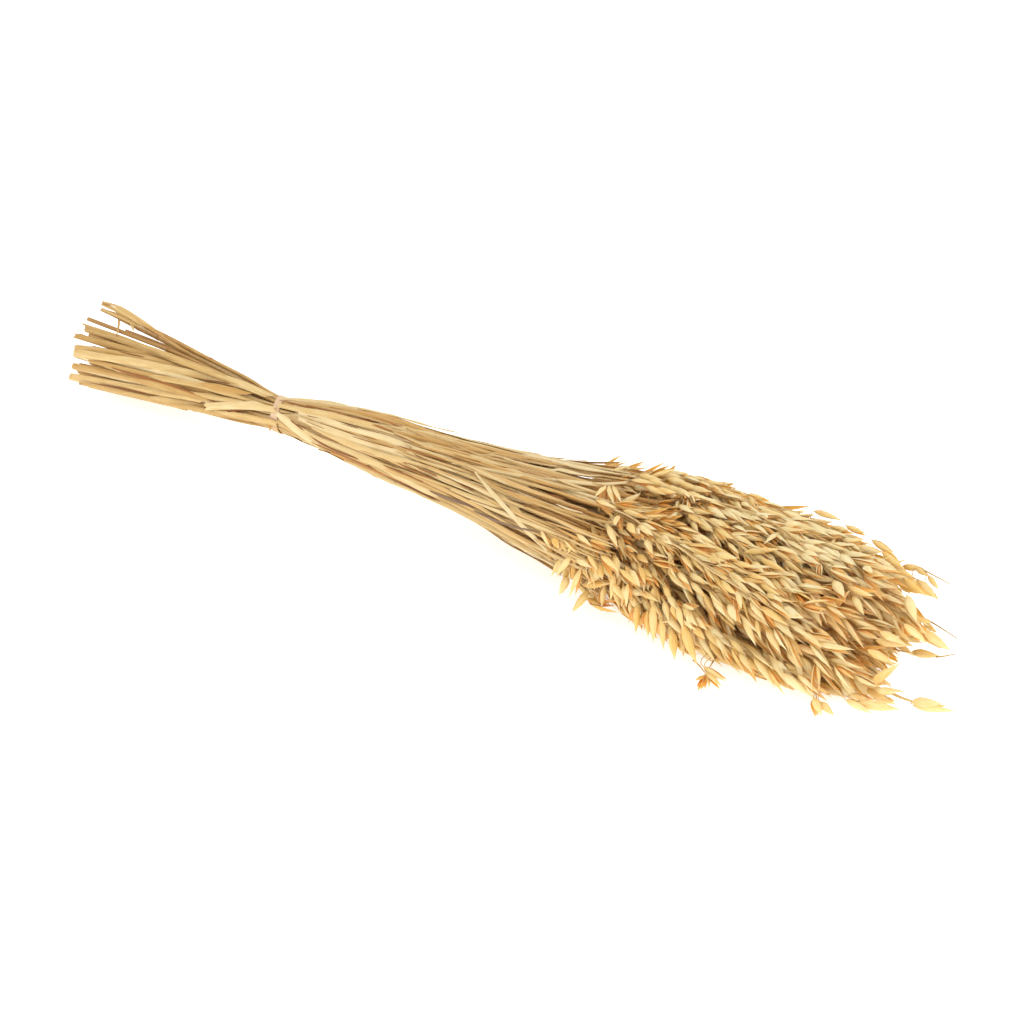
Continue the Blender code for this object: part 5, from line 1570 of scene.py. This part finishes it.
# leaves and sheaths that show one by one: places in the frame along each, width in pixels, how wide its two ends are,
# tone, share of the inner colour, material, order
# the thin dark ones, in the dark sheath material or with a low tone and a large share of the inner colour, are partly
# dark-brown edges and partly painted shade lines between the leaves
PATHS = [
    # left of the band
    ([(103, 301.5), (118, 305), (131, 313), (146, 324), (165, 336)], 4.0, 0.4, 0.4, 0.70, 0.0, H, 2),
    ([(101, 304.5), (113, 308.5), (126, 314), (141, 325)], 4.0, 0.3, 0.4, 0.55, 0.0, H, 1),
    ([(101, 308.5), (113, 312.5), (127, 319), (142, 328)], 4.5, 0.25, 0.4, 0.60, 0.0, H, 1),
    ([(110, 306), (122, 310.5), (136, 319), (152, 330)], 5.0, 0.3, 0.25, 0.80, 0.0, H, 3),
    ([(119.5, 317), (119, 326), (117, 334.5)], 2.8, 1.0, 0.8, 0.10, 0.7, H, 3),
    ([(130, 315), (131, 322), (134, 331)], 3.2, 0.8, 0.5, 0.80, 0.0, H, 3),
    ([(80, 322.5), (92, 327), (107, 332)], 1.8, 0.3, 1.0, 0.50, 0.0, H, 1),
    ([(132, 316), (150, 328.5), (170, 341), (190, 353)], 2.0, 0.5, 0.4, 0.00, 0.9, H, 2),
    ([(84, 328), (110, 335), (140, 346), (180, 360), (220, 375), (262, 392)], 8.0, 1.0, 0.5, 0.35, 0.1, H, 1),
    ([(95, 333), (130, 342), (160, 352), (200, 368), (240, 384)], 6.0, 0.5, 0.3, 0.55, 0.0, H, 2),
    ([(75, 335), (90, 340), (130, 350), (180, 365), (230, 381)], 7.0, 1.0, 0.4, 0.12, 0.2, H, 1),
    ([(75, 347), (100, 350.5), (150, 358.5), (200, 373), (250, 389)], 6.5, 1.0, 0.5, 0.40, 0.1, H, 1),
    ([(90, 345.5), (110, 350), (140, 356.5), (165, 362)], 2.0, 0.3, 0.3, 0.30, 0.0, D, 3),
    ([(74, 352.5), (100, 357), (120, 359.5), (150, 364.5), (185, 372.5), (210, 377), (240, 385), (266, 396)], 8.0, 1.0, 0.5,
     1.00, 0.0, H, 3),
    ([(88, 361), (105, 364.5), (130, 371), (165, 380), (200, 391), (230, 400)], 6.0, 0.6, 0.4, 0.10, 0.4, H, 1),
    ([(112, 368), (130, 374), (160, 382.5), (190, 393), (215, 402)], 4.0, 0.3, 0.3, 0.80, 0.0, D, 1),
    ([(73, 366.5), (100, 371), (130, 378), (160, 386.5), (190, 395), (212, 401)], 7.0, 1.0, 0.4, 0.15, 0.35, H, 2),
    ([(130, 372), (165, 379), (200, 385), (230, 394), (258, 403)], 6.0, 0.4, 0.4, 0.55, 0.0, H, 2),
    ([(70, 376.5), (100, 382), (130, 387.5), (160, 392.5), (190, 398), (203, 401)], 8.0, 1.0, 0.7, 0.75, 0.0, H, 2),
    ([(100, 384.8), (130, 390.5), (160, 395.5), (190, 399.8)], 2.4, 0.5, 0.6, 0.20, 0.0, D, 3),
    ([(80, 383.5), (100, 388), (130, 395), (160, 402), (190, 408), (220, 414.5), (252, 421)], 6.5, 0.7, 0.6, 0.30, 0.1, H, 1),
    ([(150, 397.5), (180, 403), (204, 407)], 8.0, 0.3, 1.0, 0.55, 0.0, H, 2),
    ([(204.5, 407), (225, 406), (245, 405), (262, 407), (275, 410)], 8.5, 1.0, 0.8, 1.00, 0.0, H, 5),
    ([(247, 402.5), (256, 404), (269, 409)], 7.0, 0.4, 0.6, 1.00, 0.0, H, 6),
    ([(221, 412.5), (232, 412.7), (242, 411.5)], 3.8, 0.4, 0.3, 0.10, 0.0, D, 5),
    ([(229, 411), (242, 409.6), (254, 409.2)], 1.6, 0.5, 0.3, 0.20, 0.0, D, 6),
    ([(201, 383), (215, 387), (233, 391.5), (252, 393.5)], 8.0, 0.2, 0.15, 0.00, 0.75, H, 4),
    ([(203, 380), (225, 382), (240, 386), (251, 391)], 1.6, 0.4, 0.4, 0.30, 0.0, D, 5),
    ([(190, 392), (215, 398), (240, 402), (262, 409)], 6.0, 0.3, 0.5, 0.60, 0.0, H, 3),
    ([(205, 372), (230, 379), (252, 386.5), (273, 396)], 6.0, 0.3, 0.7, 0.85, 0.0, H, 3),
    ([(214, 411), (235, 416), (258, 419.5), (276, 424)], 7.0, 0.3, 0.9, 0.50, 0.1, H, 3),
    ([(266.5, 422), (269.5, 426), (270, 430.5)], 5.0, 1.0, 0.15, 0.10, 0.4, H, 4),
    ([(191, 400.8), (196, 402), (202, 403.8)], 2.4, 0.5, 0.5, 0.10, 0.0, D, 4),
    # right of the band
    ([(280, 398.5), (300, 399), (320, 401.5), (340, 405.5), (370, 411.5), (400, 419.5), (425, 428)], 6.0, 0.5, 0.3, 0.90, 0.0, H, 2),
    ([(284, 402), (305, 405), (325, 405.5), (350, 409), (380, 417), (405, 425)], 5.0, 0.4, 0.3, 0.25, 0.2, H, 3),
    ([(280, 400.5), (292, 403), (305, 407), (318, 408.6)], 1.8, 0.4, 0.4, 0.30, 0.0, D, 4),
    ([(278, 405), (300, 410), (325, 414), (350, 420.5), (380, 428), (410, 435)], 7.0, 0.6, 0.3, 0.50, 0.0, H, 2),
    ([(311, 414.5), (322, 412.8), (334, 414.5), (348, 419)], 5.5, 0.5, 0.4, 0.75, 0.0, H, 4),
    ([(326, 410.8), (315, 412.2), (310.5, 414), (314, 417), (325, 420.2)], 1.3, 0.5, 0.5, 0.30, 0.0, D, 6),
    ([(334.5, 412.3), (341, 414.5), (350, 417.5), (361, 419.8)], 2.4, 0.5, 0.3, 0.10, 0.0, D, 5),
    ([(340, 410.5), (360, 413), (380, 418.5), (400, 425)], 6.0, 0.3, 0.3, 0.00, 0.6, H, 4),
    ([(308, 415.8), (330, 421), (350, 426.5), (368, 432), (381, 436.5)], 1.7, 0.5, 0.3, 0.20, 0.0, D, 5),
    ([(298, 412), (330, 424), (360, 433.5), (390, 441), (420, 450)], 10.0, 0.4, 0.5, 1.00, 0.0, H, 3),
    ([(306, 421), (325, 430), (350, 436), (380, 444.5), (413, 453.5)], 1.3, 0.5, 0.4, 0.40, 0.0, D, 5),
    ([(298, 418), (330, 431), (360, 441.5), (395, 451), (417, 460)], 9.0, 0.4, 0.8, 0.90, 0.0, H, 4),
    ([(404, 451), (412, 456), (419, 462)], 6.0, 0.8, 0.7, 1.00, 0.0, H, 6),
    ([(419, 461), (424, 462.3), (434, 465.5)], 3.8, 0.9, 0.3, 0.00, 0.0, D, 5),
    ([(312, 428), (340, 441), (370, 452), (405, 462), (440, 470)], 7.0, 0.4, 0.4, 0.50, 0.0, H, 3),
    ([(320, 436), (345, 445), (375, 455), (405, 463)], 1.2, 0.5, 0.4, 0.50, 0.0, D, 4),
    ([(298, 428), (320, 442), (345, 450.5), (375, 463), (405, 476)], 8.5, 0.5, 0.4, 0.65, 0.0, H, 3),
    ([(291, 420.5), (300, 428), (310, 435.5), (320, 443.5), (333, 450), (350, 456), (373, 464.5)], 2.2, 0.6, 0.4, 0.10, 0.0, D, 5),
    ([(330, 452.5), (350, 460), (368, 469), (392, 479)], 5.5, 0.3, 0.3, 0.00, 1.0, H, 2),
    ([(277, 414), (288, 423), (300, 433), (310, 441), (318, 444.5)], 9.0, 0.5, 0.9, 1.00, 0.0, H, 4),
    ([(277, 421), (290, 429.5), (305, 439)], 4.5, 0.6, 0.5, 0.30, 0.0, H, 3),
    ([(344, 460), (360, 467.5), (380, 476.5), (402, 485)], 4.0, 0.3, 0.3, 0.60, 0.0, H, 3),
    ([(384, 465.5), (400, 471.5), (413, 477), (429, 483.5)], 2.4, 0.3, 0.6, 0.20, 0.0, D, 5),
    ([(409, 477), (418, 481), (432, 484.5)], 5.0, 0.3, 0.2, 0.30, 0.0, D, 4),
    ([(378, 466.5), (395, 474), (412, 483), (428, 492), (446, 500)], 8.0, 0.4, 0.4, 0.80, 0.0, H, 4),
    ([(411, 447.5), (420, 449.5), (433, 454.5), (453, 459.5)], 5.0, 0.8, 0.3, 0.85, 0.0, H, 4),
    ([(431, 451.5), (437, 456), (447, 458.7)], 2.0, 0.5, 0.3, 0.20, 0.0, D, 5),
    ([(398, 432.5), (420, 438), (450, 445), (480, 452)], 5.0, 0.3, 0.3, 0.00, 0.4, H, 3),
    ([(380, 425), (410, 430), (440, 437), (480, 446), (520, 455)], 5.0, 0.4, 0.4, 0.70, 0.0, H, 2),
    ([(395, 482), (420, 493), (450, 507), (480, 522), (510, 539), (540, 557)], 6.0, 0.4, 0.4, 0.45, 0.0, H, 2),
    ([(438, 497), (470, 512), (500, 528), (530, 546), (553, 561)], 5.0, 0.4, 0.4, 0.30, 0.1, H, 3),
    ([(420, 430.5), (450, 436), (480, 443), (520, 451), (560, 460), (600, 467.5), (630, 473)], 5.5, 0.5, 0.3, 0.90, 0.0, H, 2),
    ([(500, 449), (540, 457), (580, 467), (620, 474)], 6.0, 0.4, 0.3, 1.00, 0.0, H, 3),
    ([(475, 472), (482, 481), (491, 492), (504, 506), (520, 524), (538, 542), (556, 560)], 4.6, 0.4, 0.4, 1.00, 0.0, H, 9),
    ([(430, 491), (450, 499.5), (478, 508)], 3.2, 0.4, 0.4, 0.50, 0.0, G, 5),
    ([(474, 511), (492, 520), (520, 529), (546, 533)], 2.8, 0.5, 0.3, 0.40, 0.0, G, 5),
    ([(474, 472), (492, 478), (512, 482)], 4.0, 0.3, 0.3, 0.00, 0.5, H, 2),
    ([(492, 484), (512, 495), (540, 507)], 3.0, 0.3, 0.4, 0.10, 0.4, H, 2),
    ([(440, 473), (465, 484), (490, 494), (505, 499)], 2.0, 0.4, 0.4, 1.00, 0.0, H, 5),
    ([(556, 504), (570, 510), (585, 513)], 2.4, 0.4, 0.4, 1.00, 0.0, H, 5),
    ([(566, 506.5), (575, 509.5), (587, 514)], 3.2, 0.5, 0.4, 0.10, 0.0, D, 4),
    ([(547, 494), (555, 496), (565, 499)], 3.0, 0.4, 0.4, 0.20, 0.0, D, 4),
    ([(545, 478), (570, 481), (600, 484.5), (626, 482)], 5.0, 0.3, 0.6, 1.00, 0.0, H, 5),
    ([(438, 446), (480, 454.5), (530, 463)], 1.4, 0.4, 0.4, 0.60, 0.0, D, 4),
    ([(455, 456), (500, 466), (545, 477)], 1.4, 0.4, 0.4, 0.60, 0.0, D, 4),
    ([(455, 482), (470, 488), (484, 491.5)], 2.6, 0.4, 0.4, 0.20, 0.0, D, 4),
    ([(452, 463), (490, 470), (530, 478), (570, 487)], 4.0, 0.4, 0.4, 0.80, 0.0, H, 3),
    ([(470, 500), (500, 512), (540, 527), (570, 540)], 4.0, 0.4, 0.4, 0.75, 0.0, H, 3),
    ([(450, 489), (480, 500), (510, 510)], 5.0, 0.4, 0.4, 0.60, 0.1, H, 3),
]
# fine stems side by side, where they show between the leaves and the heads
ro = np.random.default_rng(515)
for k_ in range(104):
    f_ = (k_ * 0.61803 + ro.normal(0, 0.02)) % 1.0
    f_ = 0.05 + 0.90 * f_
    a_ = ro.uniform(395, 560) if k_ % 3 else ro.uniform(300, 420)
    b_ = min(a_ + ro.uniform(45, 120), 640 - 90 * abs(f_ - 0.35))
    if b_ - a_ < 25:
        continue
    xs_ = np.linspace(a_, b_, 5)
    top_ = np.interp(xs_, (300, 350, 390, 430, 470, 510, 550, 590, 640), (398, 406, 414, 429, 439, 448, 457, 464, 470))
    bot_ = np.interp(xs_, (300, 350, 390, 430, 470, 510, 550, 590, 640), (440, 463, 484, 500, 519, 546, 566, 592, 612))
    g_ = f_ + ro.normal(0, 0.035) * np.linspace(0, 1, 5)
    PATHS.append((list(zip(xs_, top_ + (bot_ - top_) * np.clip(g_, 0.03, 0.97))), ro.uniform(2.0, 3.6), 0.3, 0.3,
                  float(ro.uniform(0.15, 0.80)), float(ro.random() < 0.55) * ro.uniform(0.3, 0.9), H if k_ % 9 else D,
                  int(ro.integers(0, 3))))
paths_of = {}
for pt in PATHS:
    ends_ = [at_pixel(*q, surface_at(*q)) for q in (pt[0][0], pt[0][len(pt[0]) // 2])]
    dd = sum(np.linalg.norm(SP_P - e_, axis=2).min(1) for e_ in ends_)
    paths_of.setdefault(int(np.argmin(dd)), []).append(pt)
rx = np.random.default_rng(707)
fill_of = {}
# rolled leaves among the stems: those lying deeper than 0.9 of the way out take the inside colour almost in full,
# painted shade for the gaps between the stems; the outer ones a random share of it
for k_ in range(236):
    x0_ = rx.uniform(0.190, 0.35)
    x1_ = min(0.485, x0_ + rx.uniform(0.09, 0.20))
    a0_ = (k_ * 137.508 + rx.normal(0, 12)) % 360
    rho_ = 0.98 - 0.60 * rx.random() ** 2.2
    i_ = nearest_stalk(x0_, a0_)
    fill_of.setdefault(i_, []).append((x0_, x1_, a0_, a0_ + rx.normal(0, 6), rho_, rx.uniform(0.0024, 0.0042),
                                       float(rx.uniform(0.15, 1.0)), (0.95 if rho_ < 0.90 else float(rx.random() < 0.35) * rx.uniform(0.2, 0.8))))
# an under-layer of wide rolled leaves further in, all in the inside colour: painted shade for the gaps where the heads
# begin
for k_ in range(72):
    x0_ = rx.uniform(0.325, 0.385) + (0.035 if k_ % 3 == 0 else 0.0)
    x1_ = min(0.530, x0_ + rx.uniform(0.09, 0.13))
    a0_ = (k_ * 137.508 + rx.normal(0, 12)) % 360
    if k_ % 2:
        a0_ = 70 + (a0_ * 0.42)
    rho_ = rx.uniform(0.62, 0.93)
    i_ = nearest_stalk(x0_, a0_)
    fill_of.setdefault(i_, []).append((x0_, x1_, a0_, a0_ + rx.normal(0, 5), rho_, rx.uniform(0.0034, 0.0056),
                                       float(rx.uniform(0.3, 0.9)), 0.95))
between_of = {}
for k_ in range(38):
    x_ = rx.uniform(0.03, 0.09)
    pool = [n_ for n_ in range(N_STALKS) if n_ not in THIN and cut[n_] < x_ - 0.01]
    i_ = pool[int(rx.integers(len(pool)))]
    P_, _ = centre(np.array(pool), np.full(len(pool), x_))
    me_, _ = centre(i_, np.array([x_]))
    gap_ = np.linalg.norm(P_ - me_, axis=1)
    gap_[pool.index(i_)] = 9.0
    j_ = pool[int(np.argsort(gap_)[int(rx.integers(3))])]
    x0_ = max(cut[i_], cut[j_]) + abs(rx.normal(0, 0.012))
    between_of.setdefault(i_, []).append((j_, x0_, rx.uniform(0.135, 0.166), rx.uniform(0.0045, 0.0070), float(rx.uniform(0.35, 1.0))))

made = []
for i in range(N_STALKS):
    rs = np.random.default_rng(900 + i)
    piece = Piece()
    knots = add_culm(piece, i, rs)
    # the sheath of the leaf next to the head, from the joint above the tie
    az, far = outward(i, 0.30)
    k = knots[-1]
    reach = foot[i] - k
    blade = rs.uniform(0.05, 0.11) if rs.random() < 0.75 else 0.0
    add_leaf(piece, i, rs, k - 0.001, reach * rs.uniform(0.55, 0.85), blade, rs.uniform(0.0030, 0.0052),
             az + rs.normal(0, 0.7), rs.normal(0, 0.5), rs.uniform(0.0004, 0.0026), spin=rs.normal(0, 0.8), wave=0.0002)
    # an older leaf from the joint below, lying along the stems over the tie
    if rs.random() < 0.8:
        az, far = outward(i, 0.24)
        add_leaf(piece, i, rs, rs.uniform(0.192, 0.21), rs.uniform(0.02, 0.05), rs.uniform(0.05, 0.13),
                 rs.uniform(0.0030, 0.0050), az + rs.normal(0, 0.6), rs.normal(0, 0.4), rs.uniform(0.0004, 0.0022),
                 spin=rs.normal(0, 0.6), wave=0.00015)
    if rs.random() < 0.92 and i not in THIN:
        az, far = outward(i, 0.08)
        xa = cut[i] + (rs.uniform(0.0, 0.03) if rs.random() < 0.5 else rs.uniform(0.0003, 0.002))
        add_leaf(piece, i, rs, xa, rs.uniform(0.06, 0.12), rs.uniform(0.0, 0.03), rs.uniform(0.0030, 0.0048),
                 az + rs.normal(0, 0.8), rs.normal(0, 0.4), rs.uniform(0.0003, 0.0010), spin=rs.normal(0, 0.4), puff=0.9)
    for (pts_, w_, e0_, e1_, tone_, dark_, mat_, order_) in paths_of.get(i, []):
        add_path(piece, rs, pts_, w_, e0_, e1_, tone_ * (0.50 if pts_[0][0] < 140 else 0.72 if pts_[0][0] < 262 else 0.92),
                 dark_ * (0.45 if pts_[0][0] < 262 else 1.0), mat_, order_)
    for (x0_, x1_, a0_, a1_, rho_, w_, tone_, dark_) in fill_of.get(i, []):
        add_rolled(piece, i, rs, x0_, x1_, a0_, a1_, rho_, w_, tone_, dark_)
    for (j_, x0_, x1_, w_, tone_) in between_of.get(i, []):
        add_between(piece, i, j_, rs, x0_, x1_, w_, tone_)
    for (x0_, x1_, a0_, a1_, w_, l0_, l1_, tone_, end_, dark_) in strips_of.get(i, []):
        add_strip(piece, i, rs, x0_, x1_, a0_, a1_, w_, l0_, l1_, tone=tone_, end=end_, inside=dark_,
                  fold=rs.uniform(0, 0.25) if rs.random() < 0.4 else 0.0, bow=rs.normal(0, 2.0))
    kk = np.nonzero((sp["head"] == i) & SHOW)[0]
    add_branches(piece, i, rs)
    add_ones(piece, i, rs)
    for b_ in BRISTLES:
        if np.unravel_index(np.argmin(np.hypot(SP_PX[..., 0] - b_[0][0], SP_PX[..., 1] - b_[0][1]) + 1e3 * ~SP_OK), SP_OK.shape)[0] == i:
            add_bristle(piece, rs, b_)
    add_spikelets(piece, kk, rs)
    ob = piece.build("oat_stalk_%02d_look" % (i + 1), STALK_MATS)
    made.append(ob)
    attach(ob, "root")
    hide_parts("oat_stalk_%02d" % (i + 1))

# ================================================================ the rubber band
nb = 72
th = np.arange(nb) * 2 * np.pi / nb
P_t, _ = centre(np.arange(N_STALKS), np.full(N_STALKS, TIE_X))
r_t = culm_radius(np.full(N_STALKS, TIE_X), thick)
dirs = np.stack([np.cos(th), np.sin(th)], -1)
sup = (P_t[:, None, 1:] * dirs[None]).sum(2) - (np.array([0.0, TIE_Z])[None] * dirs).sum(1)[None] + r_t[:, None] * 1.12
sup = sup.max(0)
sup = np.maximum(sup, WAIST_R * 0.93)
for _ in range(6):
    sup = np.maximum(sup, 0.25 * np.roll(sup, 1) + 0.5 * sup + 0.25 * np.roll(sup, -1))
bw, bt = BAND_W * 1.35, BAND_T * 0.8
prof = []
for cxs, czs, a0 in ((1, 1, 0), (-1, 1, 90), (-1, 0, 180), (1, 0, 270)):
    rr_ = bt * 0.38
    for st in range(4):
        f = math.radians(a0 + 90 * st / 3)
        prof.append((cxs * (bw / 2 - rr_) + rr_ * math.cos(f), (bt - rr_ if czs else rr_) + rr_ * math.sin(f)))
prof = np.array(prof)
npf = len(prof)
rb = np.random.default_rng(5)
wob_x = -0.0034 * np.cos(th) + 0.0003 * np.sin(3 * th + 1.0)
wid = 1.0 + 0.07 * np.sin(2 * th + 0.6) + 0.04 * np.sin(5 * th)
Vb = np.zeros((nb, npf, 3))
for k in range(nb):
    rad_k = sup[k] + prof[:, 1]
    Vb[k, :, 0] = TIE_X + wob_x[k] + prof[:, 0] * wid[k]
    Vb[k, :, 1] = rad_k * math.cos(th[k])
    Vb[k, :, 2] = TIE_Z + rad_k * math.sin(th[k])
piece = Piece()
q, isl, luv, gg = [], [], [], []
per = nb // 4
for k in range(nb):
    k2 = (k + 1) % nb
    s_ = k // per
    f0, f1 = (k - s_ * per) / per, (k + 1 - s_ * per) / per
    for j in range(npf):
        j2 = (j + 1) % npf
        q.append([k * npf + j, k * npf + j2, k2 * npf + j2, k2 * npf + j])
        isl.append(s_)
        luv.append([(f0, j / npf), (f0, (j + 1) / npf), (f1, (j + 1) / npf), (f1, j / npf)])
        gg.append([(k * 0.12, j / npf), (k * 0.12, (j + 1) / npf), ((k + 1) * 0.12, (j + 1) / npf), ((k + 1) * 0.12, j / npf)])
topo = {"q": np.array(q), "isl": np.array(isl), "luv": np.array(luv, float), "g": np.array(gg, float),
        "rim": np.zeros(nb * npf, np.int8), "n": nb * npf, "I": 4}
Tb = np.zeros((nb, npf, 4))
Tb[..., 0], Tb[..., 3] = 0.5, 1.0
Tb[..., 1] = smooth(0.1, 0.8, -np.sin(th) - 0.35 * np.cos(th))[:, None]
piece.put(topo, Vb.reshape(1, -1, 3), np.array([0.020, 0.011]), (1.0, 4.0), (0.0, 0.0), 0, Tb.reshape(1, -1, 4))
band = piece.build("rubber_band_look", [RUBBER])
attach(band, "root")
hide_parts("rubber_band")

# ================================================================ the loose leaf blades
for j, (x0, x1, a0, a1, width, lift0, lift1) in enumerate(LEAVES):
    rs = np.random.default_rng(70 + j)
    n = 30
    s = np.linspace(0, 1, n)
    C, O = [], []
    for u in s:
        c, o = on_outline(x0 + (x1 - x0) * u, math.radians(a0 + (a1 - a0) * u), lift0 + (lift1 - lift0) * u)
        c[2] += squeeze(c)
        C.append(c)
        O.append(o)
    C, O = np.array(C), np.array(O)
    T = unit(np.gradient(C, axis=0))
    if j == 2:
        width = width * 1.7
    w = width * (0.35 + 0.65 * np.minimum(1, s / 0.15)) * (0.16 + 0.84 * np.minimum(1, (1 - s) / 0.55) ** 0.8)
    gam = 0.45 + 0.5 * np.exp(-((s - 0.1) / 0.2) ** 2) + 0.12 * np.sin(s * 9 + j)
    if j == 3:
        w, gam = w * 0.62, gam + 0.5
    rip = (0.00018 * np.sin(s * 21 + j))[:, None] * np.linspace(-1, 1, 7)[None]
    A, B = sheet_verts(C, T, O, np.zeros(n), w, gam, 0.00022, 7, turn=0.25 * np.sin(s * 4 + j), ripple=rip)
    jag = rs.normal(0, 0.0018, 7)
    for G in (A, B):
        G[0] += T[0] * jag[:, None] * 0.6
        G[-1] += T[-1] * jag[::-1, None]
    piece = Piece()
    T4 = np.ones((1, 2 * n * 7, 4))
    T4[..., 0] = rs.uniform(0.45, 0.9)
    T4[..., 1] = np.tile(np.repeat(0.3 + 0.4 * s, 7), 2)[None]
    T4[..., 2] = np.concatenate([np.zeros(n * 7), np.ones(n * 7) * 0.7])[None]
    piece.put(topo_shell(s, np.linspace(-1, 1, 7), mu=0.01), np.concatenate([A.reshape(-1, 3), B.reshape(-1, 3)])[None],
              np.array([(x1 - x0), width * 4]), ((x1 - x0) / 0.01, 1.6), rs.uniform(0, 60, 2), 0, T4)
    ob = piece.build("leaf_blade_%02d_look" % (j + 1), [GREY_LEAF if j == 3 else LEAF])
    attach(ob, "root")
    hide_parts("leaf_blade_%02d" % (j + 1))

# ================================================================ floor, light, camera
bpy.ops.mesh.primitive_plane_add(size=1.0)
floor = bpy.context.object
floor.name = "studio_floor"
for v, co in zip(floor.data.vertices, ((-6, -6, 0), (6, -6, 0), (-6, 6, 0), (6, 6, 0))):
    v.co = co
fm = bpy.data.materials.new("studio_floor_white")
fg = Graph(fm)
tc = fg.n("ShaderNodeTexCoord")
fn = fg.noise(tc.outputs["Object"], 3.0, 2.0, 0.5)
fg.link(fg.ramp(fn, [(0.3, (0.93, 0.93, 0.93)), (0.7, (0.95, 0.95, 0.95))]), fg.b.inputs["Base Color"])
fg.b.inputs["Roughness"].default_value = 0.9
fg.b.inputs["Specular IOR Level"].default_value = 0.1
fg.b.inputs["Emission Color"].default_value = (1.0, 1.0, 1.0, 1.0)
fg.b.inputs["Emission Strength"].default_value = 0.62
floor.data.materials.append(fm)

world = bpy.data.worlds.new("studio")
bpy.context.scene.world = world
world.use_nodes = True
bg = world.node_tree.nodes["Background"]
bg.inputs["Color"].default_value = (1.0, 0.985, 0.96, 1.0)
bg.inputs["Strength"].default_value = 1.18


def area(name, where, aim, size, power, colour=(1, 1, 1)):
    li = bpy.data.lights.new(name, "AREA")
    li.shape = "DISK"
    li.size = size
    li.energy = power
    li.color = colour
    ob = bpy.data.objects.new(name, li)
    bpy.context.scene.collection.objects.link(ob)
    ob.location = where
    ob.rotation_euler = (Vector(aim) - Vector(where)).to_track_quat("-Z", "Y").to_euler()
    return ob


area("key_soft", (0.80, -1.10, 1.9), (0.16, 0, 0.03), 1.2, 6.2, (1.0, 0.985, 0.96))
area("fill_soft", (-1.3, -1.3, 1.1), (-0.05, 0, 0.03), 1.4, 0.2, (1.0, 0.99, 0.97))
area("fill_end", (1.5, -0.70, 0.8), (0.28, 0, 0.03), 1.2, 2.4, (1.0, 0.99, 0.97))

cam = bpy.data.cameras.new("camera")
cam.lens = LENS
cam.sensor_width = 36.0
cam.clip_start = 0.05
cam.clip_end = 50.0
cob = bpy.data.objects.new("camera", cam)
bpy.context.scene.collection.objects.link(cob)
eye = Vector(EYE - ORIGIN)
rot = Matrix((Vector(CAM_R), Vector(CAM_U), Vector(-CAM_F))).transposed()
cob.matrix_world = Matrix.Translation(eye) @ rot.to_4x4()
bpy.context.scene.camera = cob
bpy.context.scene.view_settings.view_transform = "Standard"
bpy.context.scene.view_settings.look = "None"

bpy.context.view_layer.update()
tris = {o.name: sum(len(p.vertices) - 2 for p in o.data.polygons) for o in made}
print("SPIKELETS", S, "TRIANGLES", sum(tris.values()), "most", max(tris.values()))
